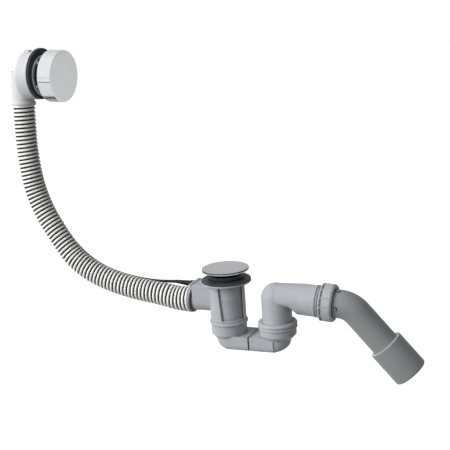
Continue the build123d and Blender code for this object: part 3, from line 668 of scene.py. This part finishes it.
socket_line = rounded([
    (0, 38), (socket_r, 38), (socket_r, 59), (22.8, 59.4), (22.8, 62), (21, 62.3), (21, 63.8),
    (22.7, 64.1), (22.7, 65), (21, 65.4), (21, 67), (22.7, 67.3), (22.7, 68.2), (21, 68.6),
    (21, 82), (20.1, 82), (20.1, 56), (18.5, 56), (18.5, 44), (0, 44)], 0.25, 4)
corner_rib = block((-0.6, -21, 22.4), (0.6, -11, 24.0), 0.3, place=outlet)
piece("outlet_elbow_moulding", [turned(riser_line, riser), neck(),
                                turned(socket_line, outlet), corner_rib],
      grey_plastic, "outlet_elbow", 40)

# %% Union nut
nut_start, nut_end, nut_r, nut_panels = 67.8, 86.8, 26.5, 12
lip_end, panel_start, groove_r = nut_start + 2.3, nut_start + 4.9, nut_r - 3.0
flute_depth, flute_half, bridge_half = 1.1, 0.6, 1.9


def nut_swell(angle, height, radius):
    """Takes the radius in at each panel's edge, and lifts bridges across the groove behind the lip."""
    phase = (angle * nut_panels / (2 * pi)) % 1
    gap = np.minimum(phase, 1 - phase) * 2 * pi * nut_r / nut_panels
    on_panel = (height > panel_start) & (height < nut_end - 1.6) & (radius > nut_r - 0.9)
    in_groove = (height > lip_end - 0.2) & (height < panel_start + 0.2) & (radius > nut_r - 3.4)
    bridge = np.clip(bridge_half - gap, 0, 1) * np.clip(nut_r - 0.3 - radius, 0, 5)
    return np.where(on_panel, -flute_depth * np.exp(-(gap / flute_half) ** 2), bridge * in_groove)


nut_line = rounded([
    (22.9, nut_start, 0.2), (nut_r - 0.5, nut_start), (nut_r, nut_start + 0.4), (nut_r, lip_end, 0.2),
    (groove_r, lip_end + 0.1, 0.2), (groove_r, panel_start, 0.2), (nut_r, panel_start + 0.1),
    (nut_r, 80, 0.1), (nut_r, nut_end - 2.4, 0.6), (nut_r - 1.9, nut_end), (nut_r - 3.4, nut_end),
    (nut_r - 3.9, nut_end - 1.2), (20.5, nut_end - 1.2), (20.5, nut_end - 3, 0.2),
    (22.9, nut_end - 3, 0.2)], 0.3)
piece("gripping_nut", [turned(nut_line, outlet, nut_panels * 32, swell=nut_swell)], grey_plastic,
      "union_nut", 28)

# %% [markdown]
# ## Outlet pipe and sleeve
#
# The pipe is a hollow section carried along a straight run, an arc and a second straight run, all in
# one plane. The section's own axes are the path's normal in that plane and the fixed direction across
# it. Walking back along the bore gives the inner wall, and joining the last ring to the first closes
# both ends.

# %% Bend
pipe_r, pipe_bore, bend_start, bend_radius, leg_length = 20.0, 17.8, 56.0, 34.0, 100.0
ahead, onward = outlet[1][2], leg[1][2]
bend_turn = np.arccos(ahead @ onward)
sideways = unit(onward - ahead * (ahead @ onward))
tangent = bend_radius * np.tan(bend_turn / 2)
turn = np.linspace(0, bend_turn, 40)[:, None]
entry = outlet[0] + ahead * np.linspace(bend_start, bend_at - tangent, 12)[:-1, None]
bent = bend_point - ahead * tangent + bend_radius * (np.sin(turn) * ahead + (1 - np.cos(turn)) * sideways)
leaving = bend_point + onward * np.linspace(tangent, leg_length, 24)[1:, None]
pipe_line = np.vstack([entry, bent, leaving])
pipe_course = np.vstack([0 * entry + ahead, np.cos(turn) * ahead + np.sin(turn) * sideways,
                         0 * leaving + onward])


def carried_ring(points, tangents, radius, turns, across=ACROSS):
    """Rings on a path: each point plus the radius times the cosine and sine on its own two axes."""
    normal = unit(np.cross(across, tangents))
    other = np.cross(tangents, normal)
    angle = circle(turns)[None, :, None]
    return points[:, None] + radius * (np.cos(angle) * normal[:, None] + np.sin(angle) * other[:, None])


across = np.cross(ahead, sideways)
pipe_walls = [carried_ring(pipe_line[::way], pipe_course[::way], radius, 96, across)
              for way, radius in ((1, pipe_r), (-1, pipe_bore))]
peg_line = rounded([(0, 19.4), (1.7, 19.4, 0.1), (1.6, 21.2), (1.2, 21.9), (0, 21.9)], 0.4, 4)
peg_foot = carried((0, 0, nut_end + 5.2), outlet)
peg_places = [axes(peg_foot, spun(outlet, angle)[1][0], ahead) for angle in (104, 184)]
pegs = [turned(peg_line, place, 24) for place in peg_places]
piece("outlet_pipe", [grid(np.concatenate(pipe_walls))] + pegs, pipe_plastic, "outlet_bend", 40)
# Black rings round the feet of the two stops: painted shade where the pegs meet the pipe.
peg_shade_line = rounded([(1.5, 19), (2.9, 19), (2.9, 20.15), (1.5, 20.3)], 0.2)
piece("peg_shade_rings", [turned(peg_shade_line, place, 24) for place in peg_places], black_plastic_and_painted_shade, "outlet_bend",
      extra=True)

# %% Sleeve
sleeve_r, sleeve_start, sleeve_end = 24.95, 71.6, 124.35
sleeve_line = rounded([
    (20.1, sleeve_start + 0.3, 0.3), (21.2, sleeve_start, 0.3), (23.9, sleeve_start),
    (24.2, sleeve_start, 0.4), (sleeve_r, sleeve_start + 1.1, 0.6), (sleeve_r, sleeve_end - 1.6, 0.5),
    (sleeve_r - 1.4, sleeve_end, 0.4), (17.8, sleeve_end, 0.4), (17.8, 100, 0.3), (20, 100), (20, 84.9),
    (22, 84.9), (22, 80.9), (20.1, 80.9)], 0.2, 5)
piece("pipe_sleeve", [turned(sleeve_line, leg)], pipe_plastic, "reducer_sleeve")
# A thin ring in lighter plastic at the sleeve's mouth: a painted highlight where light catches the rim.
rim_highlight_ring = rounded([
    (20.4, sleeve_start - 0.15), (24, sleeve_start - 0.15), (24.5, sleeve_start + 0.5),
    (20.4, sleeve_start + 0.6)], 0.2)
piece("sleeve_rim_highlight", [turned(rim_highlight_ring, leg)], rim_highlight_plastic, "reducer_sleeve", extra=True)

# %% [markdown]
# ## Hose
#
# The hose is fixed at both ends, so its shape is one smooth curve: a NURBS spline with the route's
# corners as control points. Its points are read back from Blender and new stations are spaced evenly
# along it, so that the spiral keeps its pitch. The radius then follows the spiral's phase: a full
# round rib, and a shallow groove where the dark line runs. Towards the inlet the hose widens a
# little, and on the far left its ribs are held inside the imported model's box.

# %% Smooth routes


def spline_points(name, corners):
    """Points along a NURBS spline of order 3 with these control points, in millimetres."""
    data = bpy.data.curves.new(name, "CURVE")
    data.dimensions = "3D"
    data.resolution_u = 48
    spline = data.splines.new("NURBS")
    spline.points.add(len(corners) - 1)
    homogeneous = np.column_stack([np.asarray(corners, float) * MM, np.ones(len(corners))])
    spline.points.foreach_set("co", homogeneous.ravel())
    spline.order_u = 3
    spline.use_endpoint_u = True
    carrier = shown(name, data)
    drawn = bpy.data.meshes.new_from_object(carrier.evaluated_get(bpy.context.evaluated_depsgraph_get()))
    points = np.empty(len(drawn.vertices) * 3)
    drawn.vertices.foreach_get("co", points)
    bpy.data.objects.remove(carrier)
    bpy.data.meshes.remove(drawn)
    return points.reshape(-1, 3) / MM


def stations(points, count):
    """Evenly spaced points on a line of points, their tangents, and the line's length."""
    points = points[::-1] if points[0][2] > points[-1][2] else points
    step = np.linalg.norm(np.diff(points, axis=0), axis=1)
    points = points[np.concatenate([[True], step > 1e-9])]
    along = np.concatenate([[0], np.cumsum(step[step > 1e-9])])
    even = np.linspace(0, along[-1], count)
    placed = np.column_stack([np.interp(even, along, column) for column in points.T])
    return placed, unit(np.gradient(placed, axis=0)), along[-1]


def capped(rings):
    """Rings with a middle point at either end, so that the tube they make is closed."""
    first, last = (0 * ring + ring.mean(1, keepdims=True) for ring in (rings[:1], rings[-1:]))
    return grid(np.concatenate([first, rings, last]), False, True)


# %% Hose
hose_r, hose_bore_r, groove_depth = 16.5, 13.5, 1.1
tube_foot, bead_length = -40.0, 5.5
hose_top = carried((0, 0, tube_foot - bead_length), downpipe)
hose_corners = [(inlet_end, 0, inlet_z), (-76, 0, inlet_z), (-101.8, 0, -30.3), (-153.1, 0, -23.6),
                (-205.3, 0, -8.7), (-239.2, 0, 10.3), (-260.9, 0, 31.8), (-306.6, 0, 107.6),
                (-315, 0, 167.7), hose_top - 36 * downpipe[1][2], hose_top]
hose_rows, hose_columns = 1281, 64
hose_line, hose_course, hose_length = stations(spline_points("hose route", hose_corners), hose_rows)
hose_phase = (np.arange(hose_rows)[:, None] / hose_rows * hose_turns
              - np.arange(hose_columns)[None, :] / hose_columns) % 1
from_line = np.abs(hose_phase - 0.5)
groove = eased((stripe_share / 2 + 0.10 - from_line) / 0.12)
crown = 0.6 * np.sqrt(np.clip(from_line - stripe_share / 2, 0, 1) / (0.5 - stripe_share / 2))
cuff = 1.9 * np.clip(1 - np.arange(hose_rows) / (0.14 * hose_rows), 0, 1)[:, None]
hose_room = (hose_line[:, 0] - cad_low[0] / MM)[:, None] - 0.02
hose_radius = np.minimum(hose_r - groove_depth * groove + crown + cuff, hose_room)
hose_outside = carried_ring(hose_line, hose_course, hose_radius[..., None], hose_columns)
hose_inside = carried_ring(hose_line[::-32], hose_course[::-32], hose_bore_r, hose_columns)
hose_ends = np.concatenate([hose_outside[-1:], hose_inside, hose_outside[:1]])
piece("ribbed_hose", [grid(hose_outside, False, True), grid(hose_ends, False, True)], hose_vinyl,
      "overflow_hose", 60)
print("hose", round(hose_length), "mm long, pitch", round(hose_length / hose_turns, 2), "mm")

# %% Ring over the hose's end
ring_place = axes((inlet_end + 1.6, 0, inlet_z), (-1, 0, 0), (0, 1, 0))
ring_profile = rounded([(16.2, 0.6), (18.1, 0.6), (18.7, 1.3), (18.7, 6), (18.1, 6.8), (16.2, 6.8)], 0.3)
seal_profile = rounded([
    (14.4, -1.6), (17, -1.6), (17.9, -1.2), (18.2, -0.5), (17.8, 0.7), (16.2, 0.9), (14.4, 0.9)], 0.4)
piece("hose_clamp_ring", [turned(ring_profile, ring_place, 96)], ring_plastic, "hose_ring")
piece("hose_end_seal", [turned(seal_profile, ring_place, 96)], purple_rubber, "hose_ring", extra=True)

# %% [markdown]
# ## Cable
#
# The black cable leaves its chamber through a tapered boot, lies along the back of the hose and goes
# into the back of the overflow head. It is a plain round section on its own spline. The boot has
# soft rings, and a long skirt round it tapers off along the hose.

# %% Cable and boot
cable_r, cable_y, cable_z, chamber_end, boot_length = 2.3, 14.0, -14.0, -51.5, 12.0
port_slope = radians(45)
port = carried((22, -7, -27.5), head)
port_course = head[1][2] * sin(port_slope) + head[1][1] * cos(port_slope)
cable_end = port - 9 * port_course
cable_corners = [(chamber_end - boot_length, cable_y, cable_z), (-86, cable_y, cable_z),
                 (-124, 15, -15.5), (-168, 17, -10.5), (-212, 18.6, 2), (-247, 20, 24), (-276, 21, 58),
                 (-302, 21.5, 108), (-313, 22, 160), (-319, 22.5, 212), cable_end - 20 * port_course,
                 cable_end]
cable_line, cable_course, cable_length = stations(spline_points("cable route", cable_corners), 420)
piece("sheathed_cable", [capped(carried_ring(cable_line, cable_course, cable_r, 24))], sheath_vinyl,
      "cable_sheath")
print("cable", round(cable_length), "mm long")

boot_place = axes((chamber_end, cable_y, cable_z), (-1, 0, 0), (0, 1, 0))
boot_line = rounded([
    (1, -1.5), (2.8, -1.5), (2.8, 0), (3.4, 0), (3.4, 2.2), (3, 2.6), (3, 3.4), (3.35, 3.8),
    (3.25, 4.8), (2.9, 5.2), (2.9, 6), (3.15, 6.4), (3.05, 7.4), (2.75, 7.8), (2.7, 8.6), (2.9, 9),
    (2.8, 12), (1, 12)], 0.25)
piece("cable_boot_taper", [turned(boot_line, boot_place, 48)], sheath_vinyl, "cable_boot")
skirt_length, skirt_share, skirt_turn = 38, np.linspace(0, 1, 20)[:, None], circle(40)[None, :]
skirt_tall, skirt_wide = 5.8 - 3.3 * skirt_share, 3.8 - 1.4 * skirt_share
skirt = np.stack([chamber_end + 1 - skirt_length * skirt_share + 0 * skirt_turn,
                  cable_y + skirt_wide * np.cos(skirt_turn),
                  cable_z + 2.5 - skirt_tall * (1 - np.sin(skirt_turn))], -1)
piece("cable_boot_skirt", [capped(skirt)], sheath_vinyl, "cable_boot", extra=True)

# %% [markdown]
# ## Overflow head
#
# Behind the bath wall sits a pale moulding: a flange, a drum with a soft back edge and a small tab on
# top, and the pipe that drops to the hose and ends in a bead over it. In front of the flange come the
# black gasket with its two lips, the clamp with its pale lip, and then the knob.

# %% Head moulding
rise, screw_out = (0, 2.5), 19
drum_line = rounded([
    (0, -28.5), (24, -28.5, 2), (35.5, -28.5, 8), (35.5, -8.2), (33.3, -8.2), (33.3, -24.3, 1.5),
    (28, -26.3, 1.5), (0, -26.3)], 0.5, 8)
downpipe_line = rounded([
    (0, 5), (16.9, 5, 2.2), (16.9, -38.8, 1), (17.2, -39.6), (18.1, -40.2, 0.5), (18.5, -41.6, 0.8),
    (18.5, -44.2, 0.8), (17.6, -45.5, 0.6), (13.4, -45.5, 0.3), (13.4, -56.5), (11.3, -56.5),
    (11.3, -20, 0.5), (0, -20)], 0.4, 6)
posts = [block((25.8, -2.5, -1.8), (27.9, 2.5, 3.2), 0.4, place=spun(head, angle))
         for angle in (48, 132, 228, 312)]
screw_places = [spun(head, 0, (side * screw_out, 0, 0)) for side in (-1, 1)]
top_tab = block((-9.5, 33.8, -25.5), (-1.5, 37.2, -16.5), 0.7, place=head)
head_rings = [turned(band(20, 21.2, -29.1, -28, 0.3), head, 96),
              turned(band(29, 37, -7.1, -5), head, 160, shift=rise),
              turned(band(26.8, 35.5, -9.3, -6.8, 0.4), head, 160),
              turned(band(26.6, 28.2, -26.5, -0.8, 0.4), head)]
bosses = [turned(band(1.7, 3.8, -27.5, -9, 0.3), place, 32) for place in screw_places]
piece("overflow_moulding", [turned(drum_line, head, 160),
                            turned(downpipe_line, downpipe),
                            top_tab] + head_rings + posts + bosses, light_plastic, "overflow_elbow", 36)

# %% Head gasket and clamp
lips = rounded([
    (28.5, -5, 0.3), (37, -5), (37.7, -4.4, 0.3), (37.7, -3.5, 0.3), (36.9, -3.1, 0.2),
    (36.9, -2.6, 0.2), (37.7, -2.2), (37.5, -0.6, 0.5), (36.6, 0), (35.4, -0.2), (34.6, -1.8, 0.5),
    (32.6, -1.8, 0.5), (31.8, -0.1), (30.4, 0), (29.6, -0.9, 0.3), (28.5, -0.9, 0.3)], 0.4)
key = block((-1.4, 36.4, -4.6), (1.4, 37.9, -2.6), 0.4, place=spun(head, 135, (*rise, 0)))
piece("head_lip_gasket", [turned(lips, head, 160, shift=rise), key], black_rubber_and_painted_shade, "head_gasket")

clamp_line = rounded([
    (24, -4), (25.8, -4), (25.8, 8.4), (29.1, 8.4), (29.5, 8.8), (29.5, 11), (28.4, 11.4), (27.2, 10.6),
    (24, 10.6)], 0.3)
spoke_arms = [block((5, -2, 4), (24.6, 2, 10.8), 0.6, place=spun(head, angle)) for angle in (0, 90, 180, 270)]
bearing = turned(band(4.06, 8, -2, 10.9), head, 64)
screw_seats = [turned(band(1.9, 4, 4, 10.9, 0.4), place, 40) for place in screw_places]
piece("wall_clamp", [turned(clamp_line, head), bearing] + spoke_arms + screw_seats, black_plastic_and_painted_shade,
      "clamp_flange")
lip_line = rounded([(25.5, 0.2), (29.5, 0.2), (30.1, 0.8), (30.1, 1.8), (29.5, 2.3), (25.5, 2.3)], 0.3)
piece("clamp_lip", [turned(lip_line, head)], pale_trim, "clamp_flange", extra=True)
piece("wire_guides", [block((25.4, -1.7, 3.0), (29.4, 1.7, 6.6), 0.5, place=spun(head, angle))
                      for angle in (135, 211)], light_plastic, "clamp_flange", extra=True)

# %% [markdown]
# ## Knob
#
# The knob is a deep cap with a satin face and a bright side. Rows of slots underneath let the water
# in, and they are real openings: a Boolean cut with curved bars, which is safe because both shapes are
# closed. The same cut sinks a thin parting line into the side. The black behind the slots is painted
# shade, and so is the black floor of the parting line.

# %% Knob
knob_r, knob_back, knob_face, knob_wall = 38.0, 14.1, 37.1, 2.2
knob_line = rounded([
    (0, knob_face - 0.1), (20, knob_face, 5), (35, knob_face - 0.25, 3), (37.4, knob_face - 0.5, 0.8),
    (knob_r, knob_face - 1.5, 0.5), (knob_r, knob_back + 0.6), (knob_r - 0.5, knob_back),
    (knob_r - knob_wall, knob_back), (knob_r - knob_wall, knob_face - knob_wall, 0.5),
    (7, knob_face - knob_wall, 0.5), (7, knob_back + 2, 0.4), (4, knob_back + 2),
    (4, knob_face - knob_wall, 0.2), (0, knob_face - knob_wall)], 0.3, 6)
knob_body = piece("turning_knob", [turned(knob_line, head, 192)], knob_chrome, "overflow_knob")

slot_count, slot_width, slot_pitch, slot_spread, bar_length = 4, 2.5, 4.9, 88.0, 40
slot_feet = knob_back + 3.2 + slot_pitch * np.arange(slot_count)
slot_bend = bent_round(270 - slot_spread / 2, slot_spread, bar_length)
slots = [block((0, 33.7, foot), (bar_length, 41, foot + slot_width), 0.5, (40, 1, 1), slot_bend, head)
         for foot in slot_feet]
parting_place = spun(head, 189)
parting = block((knob_r - 0.9, -0.5, knob_back - 1), (knob_r + 1, 0.5, knob_face - 1.1), 0.1,
                place=parting_place)
cutters = shown("slot cutters", mesh_of("slot cutters", [parting] + slots))
cut = knob_body.modifiers.new("slots", "BOOLEAN")
cut.operation = "DIFFERENCE"
cut.solver = "EXACT"
cut.object = cutters
slotted = bpy.data.meshes.new_from_object(knob_body.evaluated_get(bpy.context.evaluated_depsgraph_get()))
knob_body.modifiers.clear()
knob_body.data = slotted
slotted.set_sharp_from_angle(angle=radians(32))
bpy.data.objects.remove(cutters)
print("knob with slots:", len(slotted.polygons), "faces")

# A black lining just inside the knob's wall and face: painted shade seen through the slots.
slot_shade_face = turned(band(7.2, 35.2, 34.5, 34.85, 0.1, 3), head, 96)
slot_shade_wall = block((0, 35.2, 15), (160, 35.75, 34.6), 0.2, (80, 1, 1), bent_round(317, 266, 160), head)
piece("knob_slot_shade", [slot_shade_wall, slot_shade_face], black_plastic_and_painted_shade, "overflow_knob", extra=True)
# A black floor in the parting groove: painted shade in the groove.
parting_shade_floor = block((knob_r - 1.3, -0.7, knob_back + 0.8), (knob_r - 0.35, 0.7, knob_face - 1.3), 0.2,
                      place=parting_place)
piece("parting_groove_shade", [parting_shade_floor], black_plastic_and_painted_shade, "overflow_knob", extra=True)

# %% [markdown]
# ## Pieces that stay as packed
#
# Seals, screws, the stem and the lifting wedge are hardly seen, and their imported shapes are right.
# Their meshes may not be changed, so a small geometry nodes modifier smooths them: it merges the
# corners of the loose triangles and keeps every edge sharper than about thirty degrees.

# %% Smooth shading without touching the mesh


def soft_shading():
    """A node group: merge by distance, smooth faces, and smooth edges only below the crease angle."""
    group = bpy.data.node_groups.new("soft shading", "GeometryNodeTree")
    for way in ("INPUT", "OUTPUT"):
        group.interface.new_socket("Geometry", in_out=way, socket_type="NodeSocketGeometry")
    entry = add(group, "NodeGroupInput")
    merged = add(group, "GeometryNodeMergeByDistance", {"Geometry": entry, "Distance": 1e-6})
    faces = add(group, "GeometryNodeSetShadeSmooth", {"Geometry": merged})
    angle = add(group, "GeometryNodeInputMeshEdgeAngle", output="Unsigned Angle")
    gentle = add(group, "FunctionNodeCompare", {"A": angle, "B": radians(31)}, "Result",
                 operation="LESS_THAN")
    edges = add(group, "GeometryNodeSetShadeSmooth", {"Geometry": faces, "Shade Smooth": gentle},
                domain="EDGE")
    feed(group, group.nodes.new("NodeGroupOutput"), {0: edges})
    return group


kept_finish = [(black_rubber_and_painted_shade, ["plug_seal", "column_seal", "riser_seal", "cone_seal", "sleeve_seal",
                               "trap_joint_seal"]),
               (brass, ["plug_stem", "stem_nut"]),
               (steel, ["clamp_screws", "cable_wire"]),
               (light_plastic, ["slip_washer", "knob_spindle", "cable_winch"]),
               (black_plastic_and_painted_shade, ["lift_wedge", "wedge_guide", "cable_ferrule"])]
shading = soft_shading()
for finish, members in kept_finish:
    for name in members:
        kept = nodes[name]
        kept.modifiers.new("soft shading", "NODES").node_group = shading
        kept.data.materials.clear()
        kept.data.materials.append(finish)
print(sum(len(members) for finish, members in kept_finish), "packed pieces keep their shape")

# %% [markdown]
# ## Light, floor and background
#
# The light comes from the left: every round piece is bright there and falls to about a fifth of that
# on its right. One broad lamp does most of it, and a ramp across the sky, bright to the left and dim
# to the right, does the rest. Reflections see a flatter ramp of their own, so that chrome looks into
# a pale studio and keeps its two edges apart. For the camera alone the background is plain white, and
# the floor glows, so that it looks white and still takes a faint shadow.

# %% Surroundings
world = bpy.data.worlds.new("studio")
bpy.context.scene.world = world
world.use_nodes = True
sky = world.node_tree
sky.nodes.clear()
from_left = unit(-0.80 * level + 0.42 * back + 0.42 * np.array([0, 0, 1])).tolist()


def towards(tree, direction):
    """How far a ray points along a direction, from 0 for away to 1 for straight towards it."""
    ray = add(tree, "ShaderNodeTexCoord", output="Generated")
    product = add(tree, "ShaderNodeVectorMath", {0: ray, 1: direction}, "Value", operation="DOT_PRODUCT")
    return maths(tree, "MULTIPLY_ADD", product, 0.5, 0.5)


def glow(colour, strength):
    """A background of this colour and strength."""
    return add(sky, "ShaderNodeBackground", {"Color": colour, "Strength": strength})


room = ramp(sky, towards(sky, from_left), [(0.15, 0.006), (0.95, 0.88), (0.60, 0.21)])
mirrored = ramp(sky, towards(sky, from_left), [(0.10, 0.56), (0.88, 1.0), (0.50, 0.66)])
rays = sky.nodes.new("ShaderNodeLightPath").outputs
lit, shiny, white = glow(room, 0.80), glow(mirrored, 1.24), glow((1, 1, 1, 1), 1.0)
for_gloss = add(sky, "ShaderNodeMixShader", {"Fac": rays["Is Glossy Ray"], 1: lit, 2: shiny})
for_camera = add(sky, "ShaderNodeMixShader", {"Fac": rays["Is Camera Ray"], 1: for_gloss, 2: white})
feed(sky, sky.nodes.new("ShaderNodeOutputWorld"), {"Surface": for_camera})

# %% Lamps


def lamp(name, direction, reach, size, power):
    """A square soft lamp at so many metres from the middle of the set, turned towards it."""
    data = bpy.data.lights.new(name, "AREA")
    data.size = size
    data.energy = power
    made = shown(name, data)
    course = Vector(direction).normalized()
    made.location = Vector((-0.03, 0, 0.1)) + course * reach
    made.rotation_mode = "QUATERNION"
    made.rotation_quaternion = course.to_track_quat("Z", "Y")
    made.visible_glossy = False


key_direction = -0.88 * level + 0.40 * back + 0.38 * np.array([0, 0, 1])
lamp("key lamp", key_direction.tolist(), 4.0, 2.6, 172)
lamp("top lamp", (-0.1, -0.1, 1), 3.0, 2.0, 11)

# %% Floor
floor_half, floor_z = 12.0, -0.165
camera_glow, mirror_glow = 0.93, 0.66
floor_mesh = bpy.data.meshes.new("floor")
floor_mesh.from_pydata([(x * floor_half, y * floor_half, floor_z) for x, y in
                        ((-1, -1), (1, -1), (1, 1), (-1, 1))], [], [(0, 1, 2, 3)])
floor = shown("floor", floor_mesh)
floor_paint, tree, paint = shader("floor paint", 0.9, specular=0.0)
feed(tree, paint, {"Base Color": (0.32, 0.32, 0.32, 1)})
rays = tree.nodes.new("ShaderNodeLightPath").outputs
seen = maths(tree, "MULTIPLY", rays["Is Camera Ray"], camera_glow)
emission = add(tree, "ShaderNodeEmission",
               {"Strength": maths(tree, "MULTIPLY_ADD", rays["Is Glossy Ray"], mirror_glow, seen)})
feed(tree, tree.nodes["Material Output"],
     {"Surface": add(tree, "ShaderNodeAddShader", {0: paint.outputs[0], 1: emission})})
floor.data.materials.append(floor_paint)
bpy.context.scene.view_settings.view_transform = "Standard"

# %% [markdown]
# ## The imported model's size
#
# The imported model's box is printed. The finished set may not be larger than the imported
# model.

# %% Size of the imported model
print("packed", [round(1000 * (b - a), 1) for a, b in zip(cad_low, cad_high)], "mm")
